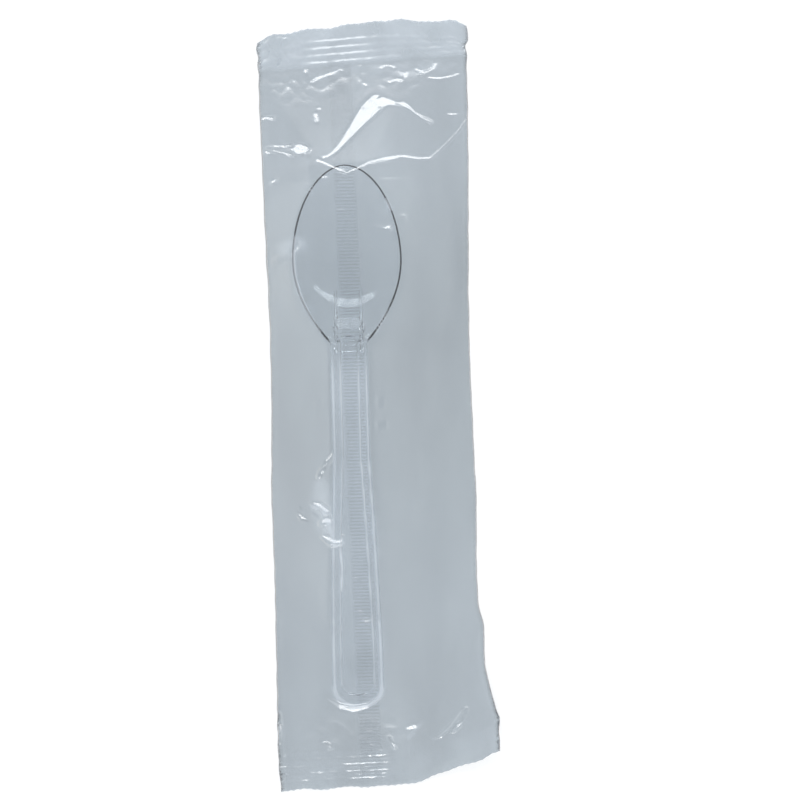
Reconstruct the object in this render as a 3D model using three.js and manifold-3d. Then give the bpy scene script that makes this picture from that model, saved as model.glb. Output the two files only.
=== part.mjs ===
// A clear plastic spoon sealed in its own flow-wrap sleeve of clear film.
// Millimetres, +Z up. The pack lies on its back film, its length runs along Y, and the spoon's tip is at +Y.

import * as THREE from "three";
import { mergeVertices } from "three/addons/utils/BufferGeometryUtils.js";
import Module from "manifold-3d";

const wasm = await Module();
wasm.setup();

// Spoon: lengths along it are measured from the tip
const SPOON_LENGTH = 160;
const BOWL_WIDTH = 32.1;
const BOWL_FRONT = 27.7;
const BOWL_TAIL = 30.5;
const BOWL_NOSE_POWER = 1.9;
const BOWL_NOSE_ROUND = 0.52;
const BOWL_FLOOR_POWER = 0.8;
const BOWL_WALL_POWER = 2.3;
const BOWL_WALL_SWELL = 0.25;
const TIP_FLAT = 0.8;
const BOWL_DEPTH = 5.5;
const BOWL_WALL = 1.1;
const BOWL_RIM_HEIGHT = 6.7;
const TIP_RIM_HEIGHT = 6.2;
const CROWN_FROM_TIP = 62;
const CROWN_HEIGHT = 13.2;
const NECK_WIDTH = 10.8;
const NECK_FILLET = 0.9;
const NECK_BLEND_BEFORE = 9;
const NECK_BLEND_AFTER = 3;
const GRIP_WIDTH = 15.3;
const TAPER_START = 85;
const TAPER_LENGTH = 60;
const TAPER_EASE = 0.5;
const HANDLE_HEIGHT = 2.3;
const HANDLE_END_ROUND = 6;
const HANDLE_EDGE_ROUND = 0.35;
const ARCH_POWER = 1.4;

// The sunk panel along the handle, between the two side rims
const RIM_BAND = 2.8;
const END_BAND = 3.9;
const PANEL_THICKNESS = 1.2;
const PANEL_START = 50.5;
const PANEL_STEP = 4.2;
const PANEL_STEP_DEPTH = 0.5;
const PANEL_DRAFT = 0.3;
const PANEL_ROUND = 0.8;
const PANEL_END_ROUND = 3.2;
const PANEL_START_CURVE = 0.75;
const PANEL_END_CURVE = 0.9;
const CUTTER_HEADROOM = 3;

// Two gusset ribs under the back of the bowl
const RIB_START = 36.5;
const RIB_WIDTH = 0.9;
const RIB_DEPTH = 1.1;
const RIB_SPREAD = 7.6;
const RIB_SWELL_POWER = 0.8;
const RIB_ROOT = 0.15;

// Film sleeve
const FILM_THICKNESS = 0.05;
const TUBE_WIDTH = 61.6;
const HEAD_ROOM = 30;
const FOOT_ROOM = 13;
const SPOON_OFFSET = -6;
const FOLD_HEIGHT = 0.7;
const FOLD_NOSE = 0.25;
const SEAL_NOSE = 0.08;
const FILM_CLEARANCE = 0.4;

// The sleeve's sides: drawn in where the spoon's crown lifts the film, and again towards the foot
const WAIST_PULL = 1.5;
const WAIST_BEFORE_CROWN = 8;
const WAIST_LENGTH = 48;
const SIDE_TAPER = 0.8;
const SIDE_TAPER_ROOM = 81;
const SIDE_TAPER_LENGTH = 30;

// The drape of the front film: a crest as wide as the spoon, which spreads and falls towards both end seals
const CREST_MARGIN = 0.6;
const TIP_CREST_SHARE = 0.62;
const TIP_CREST_LENGTH = 9;
const SEAL_CREST_SHARE = 0.36;
const HEAD_FALL = 1.5;
const FOOT_FALL = 1.3;
const FLANK_SAG = 1.12;
const TAUT_START = 4;
const LOOSE_SHARE = 0.28;
const FRONT_FADE = 8;
const BACK_FADE = 4;

// End seals: crimped bands with a plain margin before the knife cut
const CRIMP_PITCH = 2.1;
const CRIMP_COUNT = 4;
const CRIMP_HEIGHT = 0.35;
const HEAD_CUT_MARGIN = 3.2;
const FOOT_CUT_MARGIN = 2;
const HEAD_CRIMP_SLOPE = 3.5;
const HEAD_CUT_SLOPE = 6.3;
const FOOT_CRIMP_SLOPE = 1.2;
const TOOTH_PITCH = 2;
const TOOTH_DEPTH = 0.45;
const KNIFE_LOW = -5;
const KNIFE_HIGH = 20;
const BAND_SPARE = 12;
const LEAN_REACH = 60;

// The foot's right corner is pulled outwards, towards the head and up
const CORNER_START = 8;
const CORNER_RISE = 7.5;
const CORNER_BEND = 1.15;
const CORNER_LENGTH = 34;
const CORNER_LIFT = 2.6;
const EDGE_STEP = 1.4;
const EDGE_STEP_ROOM = 43;
const EDGE_STEP_LENGTH = 8;
const EDGE_FLARE = 3.7;
const EDGE_FLARE_LENGTH = 22;
const EDGE_FLARE_BEND = 1.3;

// Fin seal folded flat under the back film
const FIN_WIDTH = 6.8;
const FIN_CENTRE = -4.7;
const FIN_LEAN = 1.1;
const FIN_GAP = 0.22;
const FIN_MARGIN = 0.7;
const FIN_RAMP = 2.5;

// A pleat in the foot seal that the crimp jaws left open
const VENT_OFFSET = 9;
const VENT_WIDTH = 2.6;
const VENT_HEIGHT = 0.9;
const VENT_SILL = 0.07;
const VENT_INSIDE = 5;
const VENT_SPARE = 10;

// Gathers that fan out of both end seals
const GATHER_HEIGHT = 0.75;
const GATHER_PITCH = 9.5;
const GATHER_LENGTH = 19;
const GATHER_FAN = 0.25;
const GATHER_PEAK_POWER = 0.6;
const HEAD_GATHER_PHASE = 0.6;
const FOOT_GATHER_PHASE = 2.2;
const FOOT_GATHER_SHARE = 0.8;

// How finely each form is divided
const BOWL_ROWS = 24;
const BOWL_ROW_POWER = 1.35;
const HANDLE_ROWS = 14;
const ROUND_STEPS = 6;
const BOWL_COLUMNS = 16;
const PANEL_ROWS = 14;
const RIB_ROWS = 8;
const FILM_ROWS = 37;
const LEFT_FLANK_CELLS = 7;
const CREST_CELLS = 6;
const RIGHT_FLANK_CELLS = 10;
const BACK_CELLS = 6;
const VENT_STEPS = 6;
const END_ROW_BUNCHING = 0.02;
const HEAD_ROW_BUNCHING = 0.035;

const halfBowl = BOWL_WIDTH / 2;
const halfNeck = NECK_WIDTH / 2;
const halfGrip = GRIP_WIDTH / 2;
const bowlEnd = BOWL_FRONT + BOWL_TAIL * Math.sqrt(1 - halfNeck / halfBowl);
const backFilmRise = 2 * FILM_THICKNESS + FIN_GAP;
const spoonRest = backFilmRise + FILM_THICKNESS + FILM_CLEARANCE;
const crimpLength = CRIMP_COUNT * CRIMP_PITCH;
const headSealLength = crimpLength + HEAD_CUT_MARGIN;
const footSealLength = crimpLength + FOOT_CUT_MARGIN;
const sleeveLength = HEAD_ROOM + SPOON_LENGTH + FOOT_ROOM;

const clamp = THREE.MathUtils.clamp;
const lerp = THREE.MathUtils.lerp;
const smoothstep = THREE.MathUtils.smoothstep;
const slopeOf = (degrees) => Math.tan(THREE.MathUtils.degToRad(degrees));

// Solids

// Joins closed loops of equal length into one closed body. In each loop the first "upper" points run from
// left to right over the section, and the rest come back under it. The end caps are stitched between them.
function loft(loops, upper) {
  const size = loops[0].length;
  const positions = loops.flatMap((loop) => loop.flatMap((point) => [point.x, point.y, point.z]));
  const index = [];
  for (let station = 0; station < loops.length - 1; station += 1) {
    for (let side = 0; side < size; side += 1) {
      const next = (side + 1) % size;
      const a = station * size + side;
      const b = station * size + next;
      const c = a + size;
      const d = b + size;
      index.push(a, c, b, b, c, d);
    }
  }
  for (const [station, first] of [[0, true], [loops.length - 1, false]]) {
    const loop = loops[station];
    let over = 0;
    let under = size - 1;
    while (over < upper - 1 || under > upper) {
      const canOver = over < upper - 1;
      const canUnder = under > upper;
      const takeOver = canOver && (!canUnder || loop[over + 1].x <= loop[under - 1].x);
      const third = takeOver ? over + 1 : under - 1;
      const triangle = [over, under, third].map((corner) => corner + station * size);
      index.push(...(first ? triangle.reverse() : triangle));
      if (takeOver) {
        over += 1;
      } else {
        under -= 1;
      }
    }
  }
  const geometry = new THREE.BufferGeometry();
  geometry.setAttribute("position", new THREE.Float32BufferAttribute(positions, 3));
  geometry.setIndex(index);
  return geometry;
}

function solidOf(geometry) {
  const bare = geometry.clone();
  bare.deleteAttribute("normal");
  bare.deleteAttribute("uv");
  const merged = mergeVertices(bare, 1e-5);
  return new wasm.Manifold(new wasm.Mesh({
    numProp: 3,
    vertProperties: new Float32Array(merged.attributes.position.array),
    triVerts: new Uint32Array(merged.index.array),
  }));
}

function geometryOf(solid) {
  const mesh = solid.getMesh();
  const geometry = new THREE.BufferGeometry();
  geometry.setAttribute("position", new THREE.BufferAttribute(new Float32Array(mesh.vertProperties), 3));
  geometry.setIndex(new THREE.BufferAttribute(new Uint32Array(mesh.triVerts), 1));
  geometry.computeVertexNormals();
  return geometry;
}

// A flat outline in X and Y, made solid between two heights.
function slab(points, low, high) {
  const shape = new THREE.Shape(points);
  const geometry = new THREE.ExtrudeGeometry(shape, { depth: high - low, bevelEnabled: false });
  geometry.translate(0, 0, low);
  return solidOf(geometry);
}

// Spoon shape, as functions of the distance from the tip

// Half the handle's width, without its round end.
function fullHalfWidth(along) {
  const taper = clamp((along - TAPER_START) / TAPER_LENGTH, 0, 1);
  return lerp(halfNeck, halfGrip, taper * (1 + TAPER_EASE - TAPER_EASE * taper));
}

function handleHalfWidth(along) {
  const intoRound = clamp((along - (SPOON_LENGTH - HANDLE_END_ROUND)) / HANDLE_END_ROUND, 0, 1);
  return fullHalfWidth(along) * Math.sqrt(Math.max(1 - intoRound * intoRound, 0));
}

function bowlHalfWidth(along) {
  if (along < BOWL_FRONT) {
    const ahead = (BOWL_FRONT - along) / BOWL_FRONT;
    return halfBowl * Math.max(1 - ahead ** BOWL_NOSE_POWER, 0) ** BOWL_NOSE_ROUND;
  }
  const behind = (along - BOWL_FRONT) / BOWL_TAIL;
  return halfBowl * (1 - behind * behind);
}

// The bowl's parabola runs into the handle's edge through a small fillet.
function halfWidth(along) {
  if (along < BOWL_FRONT) {
    return bowlHalfWidth(along);
  }
  const bowl = bowlHalfWidth(along);
  const handle = handleHalfWidth(along);
  const difference = bowl - handle;
  const eased = (bowl + handle + Math.hypot(difference, NECK_FILLET)) / 2;
  return eased - NECK_FILLET / 2 * Math.exp(-Math.abs(difference));
}

// Height of the rim and of the handle's top above the spoon's lowest point.
function topHeight(along) {
  if (along < BOWL_FRONT) {
    const ahead = (BOWL_FRONT - along) / BOWL_FRONT;
    return lerp(BOWL_RIM_HEIGHT, TIP_RIM_HEIGHT, ahead * ahead);
  }
  if (along < CROWN_FROM_TIP) {
    return lerp(BOWL_RIM_HEIGHT, CROWN_HEIGHT, smoothstep(along, BOWL_FRONT, CROWN_FROM_TIP));
  }
  const down = clamp((along - CROWN_FROM_TIP) / (SPOON_LENGTH - CROWN_FROM_TIP), 0, 1);
  return lerp(HANDLE_HEIGHT, CROWN_HEIGHT, Math.max(Math.cos(down * Math.PI / 2), 0) ** ARCH_POWER);
}

// Depth of the bowl below its rim; across runs from -1 to 1 between the rims.
function hollow(along, across) {
  const reach = along < BOWL_FRONT ? BOWL_FRONT : bowlEnd - BOWL_FRONT;
  const off = clamp(Math.abs(along - BOWL_FRONT) / reach, 0, 1);
  const lengthwise = Math.max(1 - off * off, 0) ** BOWL_FLOOR_POWER;
  return BOWL_DEPTH * lengthwise * (1 - Math.abs(across) ** BOWL_WALL_POWER);
}

// How far the section has changed from the bowl's to the handle's, from 0 to 1.
function handleShare(along) {
  return smoothstep(along, bowlEnd - NECK_BLEND_BEFORE, bowlEnd + NECK_BLEND_AFTER);
}

function wallAt(along) {
  return lerp(BOWL_WALL, HANDLE_HEIGHT, handleShare(along));
}

function spoonSection(along) {
  const half = Math.max(halfWidth(along), TIP_FLAT / 2);
  const top = topHeight(along);
  const wall = wallAt(along);
  const swell = BOWL_WALL_SWELL * (1 - handleShare(along));
  const upper = [];
  const lower = [];
  for (let column = 0; column <= BOWL_COLUMNS; column += 1) {
    const across = Math.sin(Math.PI * (column / BOWL_COLUMNS - 0.5));
    const sunk = hollow(along, across);
    const edge = column === 0 || column === BOWL_COLUMNS ? HANDLE_EDGE_ROUND : 0;
    upper.push(new THREE.Vector3(across * half, -along, top - sunk - edge));
    const underside = top - sunk - wall * (1 + swell * across * across) + edge;
    lower.unshift(new THREE.Vector3(across * (half - edge / 3), -along, underside));
  }
  return [...upper, ...lower];
}

function spoonStations() {
  const stations = [];
  for (let row = 0; row < BOWL_ROWS; row += 1) {
    const share = row / BOWL_ROWS;
    stations.push(bowlEnd * share ** BOWL_ROW_POWER);
  }
  for (let row = 0; row < HANDLE_ROWS; row += 1) {
    stations.push(lerp(bowlEnd, SPOON_LENGTH - HANDLE_END_ROUND, row / HANDLE_ROWS));
  }
  for (let step = 0; step <= ROUND_STEPS; step += 1) {
    const turn = (step / ROUND_STEPS) * Math.PI / 2;
    stations.push(SPOON_LENGTH - HANDLE_END_ROUND + HANDLE_END_ROUND * Math.sin(turn));
  }
  return stations;
}

// The panel starts with a shallow step at the neck and then drops to its full depth.
function panelDepth(along) {
  const full = HANDLE_HEIGHT - PANEL_THICKNESS;
  const stepEnd = PANEL_START + PANEL_STEP;
  return lerp(PANEL_STEP_DEPTH, full, clamp((along - stepEnd) / PANEL_DRAFT, 0, 1));
}

function panelStations() {
  const start = PANEL_START;
  const finish = SPOON_LENGTH - END_BAND;
  const stepEnd = start + PANEL_STEP;
  const stations = [start, start + PANEL_ROUND / 3, start + PANEL_ROUND, stepEnd, stepEnd + PANEL_DRAFT];
  for (let row = 1; row < PANEL_ROWS; row += 1) {
    stations.push(lerp(stepEnd + PANEL_DRAFT, finish - PANEL_END_ROUND, row / PANEL_ROWS));
  }
  for (let step = 0; step <= ROUND_STEPS; step += 1) {
    const turn = (step / ROUND_STEPS) * Math.PI / 2;
    stations.push(finish - PANEL_END_ROUND + PANEL_END_ROUND * Math.sin(turn));
  }
  return stations;
}

// The cutter for the sunk panel: its floor follows the handle's arch, and both of its ends are round.
function panelCutter() {
  const finish = SPOON_LENGTH - END_BAND;
  const loops = panelStations().map((along) => {
    const fromStart = clamp(1 - (along - PANEL_START) / PANEL_ROUND, 0, 1);
    const fromFinish = clamp(1 - (finish - along) / PANEL_END_ROUND, 0, 1);
    const startRound = Math.sqrt(1 - PANEL_START_CURVE * fromStart * fromStart);
    const endRound = Math.sqrt(1 - PANEL_END_CURVE * fromFinish * fromFinish);
    const outer = (fullHalfWidth(along) - RIM_BAND) * startRound * endRound;
    const depth = panelDepth(along);
    const flareOut = PANEL_DRAFT * CUTTER_HEADROOM / depth;
    const top = topHeight(along);
    return [
      new THREE.Vector3(-outer - flareOut, -along, top + CUTTER_HEADROOM),
      new THREE.Vector3(outer + flareOut, -along, top + CUTTER_HEADROOM),
      new THREE.Vector3(outer - PANEL_DRAFT, -along, top - depth),
      new THREE.Vector3(PANEL_DRAFT - outer, -along, top - depth),
    ];
  });
  return solidOf(loft(loops, 2));
}

// A rib hangs under the bowl's back wall and grows deeper towards the neck.
function gussetRib(side) {
  const finish = bowlEnd + NECK_BLEND_AFTER;
  const centre = side * RIB_SPREAD / 2;
  const loops = [];
  for (let row = 0; row <= RIB_ROWS; row += 1) {
    const along = lerp(RIB_START, finish, row / RIB_ROWS);
    const across = clamp(centre / halfWidth(along), -1, 1);
    const wall = wallAt(along);
    const inside = topHeight(along) - hollow(along, across) - wall / 2;
    const swell = Math.sin(Math.PI * row / RIB_ROWS) ** RIB_SWELL_POWER;
    const under = inside - wall / 2 - RIB_DEPTH * swell + RIB_ROOT;
    loops.push([
      new THREE.Vector3(centre - RIB_WIDTH / 2, -along, inside),
      new THREE.Vector3(centre + RIB_WIDTH / 2, -along, inside),
      new THREE.Vector3(centre + RIB_WIDTH / 2, -along, under),
      new THREE.Vector3(centre - RIB_WIDTH / 2, -along, under),
    ]);
  }
  return solidOf(loft(loops, 2));
}

function makeSpoon() {
  const blank = solidOf(loft(spoonStations().map(spoonSection), BOWL_COLUMNS + 1));
  return blank
    .add(gussetRib(-1))
    .add(gussetRib(1))
    .subtract(panelCutter());
}

// Film sleeve, in the pack's plane: "along" is still the distance from the spoon's tip towards the foot

const headSealAt = -HEAD_ROOM;
const footSealAt = SPOON_LENGTH + FOOT_ROOM;

// How far the foot's right corner is pulled, from 0 to 1.
function cornerShare(x, along) {
  const across = clamp((x - CORNER_START) / (TUBE_WIDTH / 2 - CORNER_START), 0, 1.1);
  const lengthwise = smoothstep(along, footSealAt - CORNER_LENGTH, footSealAt);
  return across ** CORNER_BEND * lengthwise;
}

// Half the width of the sleeve, without the pulled corner.
function sleeveHalf(along) {
  const fromWaist = (along - CROWN_FROM_TIP + WAIST_BEFORE_CROWN) / WAIST_LENGTH;
  const taperStart = footSealAt - SIDE_TAPER_ROOM;
  const taper = SIDE_TAPER * smoothstep(along, taperStart, taperStart + SIDE_TAPER_LENGTH);
  return TUBE_WIDTH / 2 - WAIST_PULL * Math.exp(-fromWaist * fromWaist) - taper;
}

function leftEdge(along) {
  return -sleeveHalf(along);
}

// The right side steps outwards once, and then flares to the pulled corner.
function rightEdge(along) {
  const stepStart = footSealAt - EDGE_STEP_ROOM;
  const step = EDGE_STEP * smoothstep(along, stepStart, stepStart + EDGE_STEP_LENGTH);
  const flareShare = clamp(1 - (footSealAt - along) / EDGE_FLARE_LENGTH, 0, 1);
  return sleeveHalf(along) + step + EDGE_FLARE * flareShare ** EDGE_FLARE_BEND;
}

// The rows lean with the crimps: level at mid length, and sloped at each end seal.
function rowShift(x, along) {
  const headShare = smoothstep(-along, -LEAN_REACH, HEAD_ROOM);
  const footShare = smoothstep(along, SPOON_LENGTH - LEAN_REACH, footSealAt);
  const lean = slopeOf(HEAD_CRIMP_SLOPE) * headShare + slopeOf(FOOT_CRIMP_SLOPE) * footShare;
  return lean * (x - SPOON_OFFSET) + CORNER_RISE * cornerShare(x, along);
}

// Half the width of the crest that the film makes over the spoon.
function crestHalf(along) {
  const nose = TIP_CREST_SHARE * halfBowl;
  const widest = SEAL_CREST_SHARE * TUBE_WIDTH;
  if (along < 0) {
    return lerp(nose, widest, smoothstep(-along, 0, HEAD_ROOM));
  }
  if (along > SPOON_LENGTH) {
    return lerp(halfGrip + CREST_MARGIN, widest, smoothstep(along, SPOON_LENGTH, footSealAt));
  }
  const roundLess = Math.min(along, SPOON_LENGTH - HANDLE_END_ROUND);
  const own = halfWidth(roundLess) + CREST_MARGIN;
  const tipShare = 1 - smoothstep(along, 0, TIP_CREST_LENGTH);
  return Math.max(own, lerp(own, nose, tipShare));
}

// Over the hollow of the bowl the film is taut, on a straight line from near the tip up to the crown.
// This is how far that line runs above the rim.
function tautRise(along) {
  if (along < TAUT_START || along > CROWN_FROM_TIP) {
    return 0;
  }
  const share = (along - TAUT_START) / (CROWN_FROM_TIP - TAUT_START);
  return Math.max(lerp(topHeight(TAUT_START), CROWN_HEIGHT, share) - topHeight(along), 0);
}

// Height of the crest's edges above the table.
function crestHeight(along) {
  const seal = 2 * FILM_THICKNESS;
  const over = spoonRest + FILM_CLEARANCE + FILM_THICKNESS;
  if (along < 0) {
    const away = clamp(-along / HEAD_ROOM, 0, 1);
    return lerp(seal, topHeight(0) + over, (1 - away) ** HEAD_FALL);
  }
  if (along > SPOON_LENGTH) {
    const away = clamp((along - SPOON_LENGTH) / FOOT_ROOM, 0, 1);
    return lerp(seal, topHeight(SPOON_LENGTH) + over, (1 - away) ** FOOT_FALL);
  }
  return topHeight(along) + over;
}

// Ripples out of an end seal, which die away towards the spoon.
function gathers(x, along) {
  const fromHead = along - headSealAt;
  const fromFoot = footSealAt - along;
  const ripple = (away, phase) => {
    const share = clamp(away / GATHER_LENGTH, 0, 1);
    const envelope = Math.sin(Math.PI * share ** GATHER_PEAK_POWER) ** 2;
    const fan = 1 + GATHER_FAN * share;
    return envelope * (1 + Math.cos(2 * Math.PI * x * fan / GATHER_PITCH + phase)) / 2;
  };
  const head = ripple(fromHead, HEAD_GATHER_PHASE);
  const foot = ripple(fromFoot, FOOT_GATHER_PHASE);
  return GATHER_HEIGHT * (head + FOOT_GATHER_SHARE * foot);
}

// Sharp creases in the front film: ends as [across, along], height and half width.
const CREASES = [
  { from: [-13, -2], to: [-3, -22], height: 1.3, half: 4.2 },
  { from: [-3, -22], to: [16, -14], height: 1.5, half: 4.5 },
  { from: [-9, -3], to: [26, -13], height: 1.1, half: 4 },
  { from: [-29, 24], to: [-17, 27], height: 0.9, half: 3.4 },
  { from: [-15, 98], to: [-22, 117], height: 1, half: 3.6 },
  { from: [-27, 104], to: [-13, 126], height: 0.9, half: 3.4 },
  { from: [31, 152], to: [14, 167], height: 1.2, half: 3.6 },
  { from: [31, 159], to: [22, 171], height: 1, half: 3.2 },
];

function creaseHeight(x, along, crease) {
  const start = new THREE.Vector2(...crease.from);
  const run = new THREE.Vector2(...crease.to).sub(start);
  const offset = new THREE.Vector2(x, along).sub(start);
  const share = clamp(offset.dot(run) / run.lengthSq(), 0, 1);
  const away = offset.sub(run.multiplyScalar(share)).length();
  return crease.height * Math.max(1 - away / crease.half, 0);
}

// Height of the front film's outer face. Share runs from 0 at the fold to 1 on the crest, and ridge from 0
// at the crest's edges to 1 on its middle line.
function frontHeight(x, along, share, ridge) {
  const fadeIn = smoothstep(along, headSealAt, headSealAt + FRONT_FADE);
  const fadeOut = smoothstep(-along, -footSealAt, -footSealAt + FRONT_FADE);
  const edge = lerp(2 * FILM_THICKNESS, FOLD_HEIGHT, Math.min(fadeIn, fadeOut));
  const drape = lerp(edge, crestHeight(along), share ** FLANK_SAG);
  const loose = smoothstep(share, 0, LOOSE_SHARE);
  const creased = CREASES.reduce((sum, crease) => sum + creaseHeight(x, along, crease), 0);
  return drape + ridge * tautRise(along) + loose * (Math.min(fadeIn, fadeOut) * creased + gathers(x, along));
}

// The fin runs a little askew along the back.
function finCentre(along) {
  return FIN_CENTRE + slopeOf(FIN_LEAN) * (along - SPOON_LENGTH / 2);
}

// The back film lies on the table and rises over the folded fin.
function backHeight(x, along) {
  const away = Math.abs(x - finCentre(along)) - FIN_WIDTH / 2 - FIN_MARGIN;
  const overFin = 1 - smoothstep(away, 0, FIN_RAMP);
  const free = Math.min(
    smoothstep(along, headSealAt, headSealAt + BACK_FADE),
    smoothstep(-along, -footSealAt, -footSealAt + BACK_FADE),
  );
  return backFilmRise * overFin * free;
}

// Zigzag height of the crimped bands: flat outside the crimps.
function crimpHeight(along) {
  const into = along < 0 ? headSealAt - along : along - footSealAt;
  if (into <= 0 || into >= crimpLength) {
    return 0;
  }
  const phase = (into / CRIMP_PITCH) % 1;
  return CRIMP_HEIGHT * (1 - Math.abs(2 * phase - 1));
}

function frontColumns(along) {
  const left = leftEdge(along);
  const right = rightEdge(along);
  const crest = crestHalf(along);
  const columns = [];
  for (let cell = 0; cell < LEFT_FLANK_CELLS; cell += 1) {
    const share = cell / LEFT_FLANK_CELLS;
    columns.push({ x: lerp(left, SPOON_OFFSET - crest, share), share, ridge: 0 });
  }
  for (let cell = 0; cell <= CREST_CELLS; cell += 1) {
    const across = 2 * cell / CREST_CELLS - 1;
    columns.push({ x: SPOON_OFFSET + crest * across, share: 1, ridge: 1 - Math.abs(across) });
  }
  for (let cell = RIGHT_FLANK_CELLS - 1; cell >= 0; cell -= 1) {
    const share = cell / RIGHT_FLANK_CELLS;
    columns.push({ x: lerp(right, SPOON_OFFSET + crest, share), share, ridge: 0 });
  }
  return columns;
}

function backColumns(along) {
  const finLeft = finCentre(along) - FIN_WIDTH / 2 - FIN_MARGIN;
  const finRight = finCentre(along) + FIN_WIDTH / 2 + FIN_MARGIN;
  const flat = finRight + FIN_RAMP;
  const columns = [
    leftEdge(along),
    finLeft - FIN_RAMP,
    finLeft - FIN_RAMP / 2,
    finLeft,
    finRight,
    finRight + FIN_RAMP / 2,
  ];
  for (let cell = 0; cell <= BACK_CELLS; cell += 1) {
    columns.push(lerp(flat, rightEdge(along), cell / BACK_CELLS));
  }
  return columns;
}

// One closed loop round the sleeve. Inset 0 gives the outer face, and the film's thickness the inner one.
function sleeveSection(along, inset) {
  const band = crimpHeight(along);
  const inSeal = along <= headSealAt || along >= footSealAt;
  const columns = frontColumns(along);
  const back = backColumns(along);
  const place = (x, z) => {
    const lift = CORNER_LIFT * cornerShare(x, along);
    return new THREE.Vector3(x, -along + rowShift(x, along), z + lift);
  };
  const frontAt = (column) => (
    inSeal ? 2 * FILM_THICKNESS + band : frontHeight(column.x, along, column.share, column.ridge)
  );
  const front = columns.map((column) => place(column.x, frontAt(column) - inset));
  const rear = back.map((x) => place(x, (inSeal ? band : backHeight(x, along)) + inset));
  for (const run of [front, rear]) {
    run[0].x += inset;
    run[run.length - 1].x -= inset;
  }
  const nose = inSeal ? SEAL_NOSE : FOLD_NOSE;
  const middle = (a, b, outward) => new THREE.Vector3(
    (a.x + b.x) / 2 + outward * nose,
    (a.y + b.y) / 2,
    (a.z + b.z) / 2,
  );
  const leftNose = middle(front[0], rear[0], -1);
  const rightNose = middle(front[front.length - 1], rear[rear.length - 1], 1);
  return [...front, rightNose, ...rear.reverse(), leftNose];
}

// Rows of the tube between the seals, closer together at both ends.
function tubeStations() {
  const stations = [];
  for (let row = 0; row <= FILM_ROWS; row += 1) {
    const even = row / FILM_ROWS;
    const bothEnds = END_ROW_BUNCHING * Math.sin(4 * Math.PI * even);
    const headEnd = HEAD_ROW_BUNCHING * Math.sin(2 * Math.PI * even);
    stations.push(headSealAt + sleeveLength * (even - bothEnds - headEnd));
  }
  return stations;
}

// Rows of a crimped band: one at each crest and foot of its zigzag, and one past the knife's line.
function bandStations(start, direction, length) {
  const stations = [];
  for (let half = 1; half <= 2 * CRIMP_COUNT; half += 1) {
    stations.push(start + direction * half * CRIMP_PITCH / 2);
  }
  stations.push(start + direction * (length + BAND_SPARE));
  return stations;
}

// The knife takes off all that lies beyond a toothed line; x runs from left to right.
function knife(lineAt, beyond) {
  const reach = TUBE_WIDTH;
  const points = [];
  for (let x = -reach; x < reach; x += TOOTH_PITCH) {
    points.push(new THREE.Vector2(x, lineAt(x) + TOOTH_DEPTH / 2));
    points.push(new THREE.Vector2(x + TOOTH_PITCH / 2, lineAt(x) - TOOTH_DEPTH / 2));
  }
  const far = beyond * (sleeveLength / 2);
  points.push(new THREE.Vector2(reach, lineAt(0) + far));
  points.push(new THREE.Vector2(-reach, lineAt(0) + far));
  return slab(points, KNIFE_LOW, KNIFE_HIGH);
}

// Cross-section of the vent pleat, as a low tunnel with a flat floor.
function ventTunnel(inset, from, to) {
  const half = VENT_WIDTH / 2 - inset;
  const loops = [];
  for (const along of [from, to]) {
    const profile = [];
    for (let step = 0; step <= VENT_STEPS; step += 1) {
      const turn = Math.PI * (1 - step / VENT_STEPS);
      const x = VENT_OFFSET + half * Math.cos(turn);
      const z = inset + VENT_SILL + (VENT_HEIGHT - 2 * inset - VENT_SILL) * Math.sin(turn);
      profile.push(new THREE.Vector3(x, -along, z));
    }
    profile.push(new THREE.Vector3(VENT_OFFSET + half, -along, inset));
    profile.push(new THREE.Vector3(VENT_OFFSET - half, -along, inset));
    loops.push(profile);
  }
  return solidOf(loft(loops, loops[0].length - 2));
}

// The fin: two layers of film, folded at the root and laid flat along the back.
function makeFin() {
  const double = 2 * FILM_THICKNESS;
  const head = headSealAt - headSealLength - BAND_SPARE / 2;
  const foot = footSealAt + footSealLength + BAND_SPARE / 2;
  const strip = (width, low, high) => slab([
    new THREE.Vector2(finCentre(foot) - FIN_WIDTH / 2, -foot),
    new THREE.Vector2(finCentre(foot) - FIN_WIDTH / 2 + width, -foot),
    new THREE.Vector2(finCentre(head) - FIN_WIDTH / 2 + width, -head),
    new THREE.Vector2(finCentre(head) - FIN_WIDTH / 2, -head),
  ], low, high);
  const blade = strip(FIN_WIDTH, 0, double);
  const web = strip(double, double / 2, backFilmRise + FILM_THICKNESS / 2);
  return blade.add(web);
}

function makeSleeve() {
  const tube = tubeStations();
  const outer = [
    ...bandStations(headSealAt, -1, headSealLength).reverse(),
    ...tube,
    ...bandStations(footSealAt, 1, footSealLength),
  ].map((along) => sleeveSection(along, 0));
  const inner = tube.slice(1, -1).map((along) => sleeveSection(along, FILM_THICKNESS));
  const ventFrom = footSealAt - VENT_INSIDE;
  const ventTo = footSealAt + footSealLength + VENT_SPARE;
  const headLine = (x) => -headSealAt + headSealLength + slopeOf(HEAD_CUT_SLOPE) * (x - SPOON_OFFSET);
  const footLine = (x) => -footSealAt - footSealLength + rowShift(x, footSealAt + footSealLength);
  const frontCount = LEFT_FLANK_CELLS + CREST_CELLS + RIGHT_FLANK_CELLS + 1;
  return solidOf(loft(outer, frontCount))
    .add(makeFin())
    .subtract(solidOf(loft(inner, frontCount)))
    .add(ventTunnel(0, ventFrom, ventTo))
    .subtract(ventTunnel(FILM_THICKNESS, ventFrom - 1, ventTo + 1))
    .subtract(knife(headLine, 1))
    .subtract(knife(footLine, -1));
}

// The object

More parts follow.
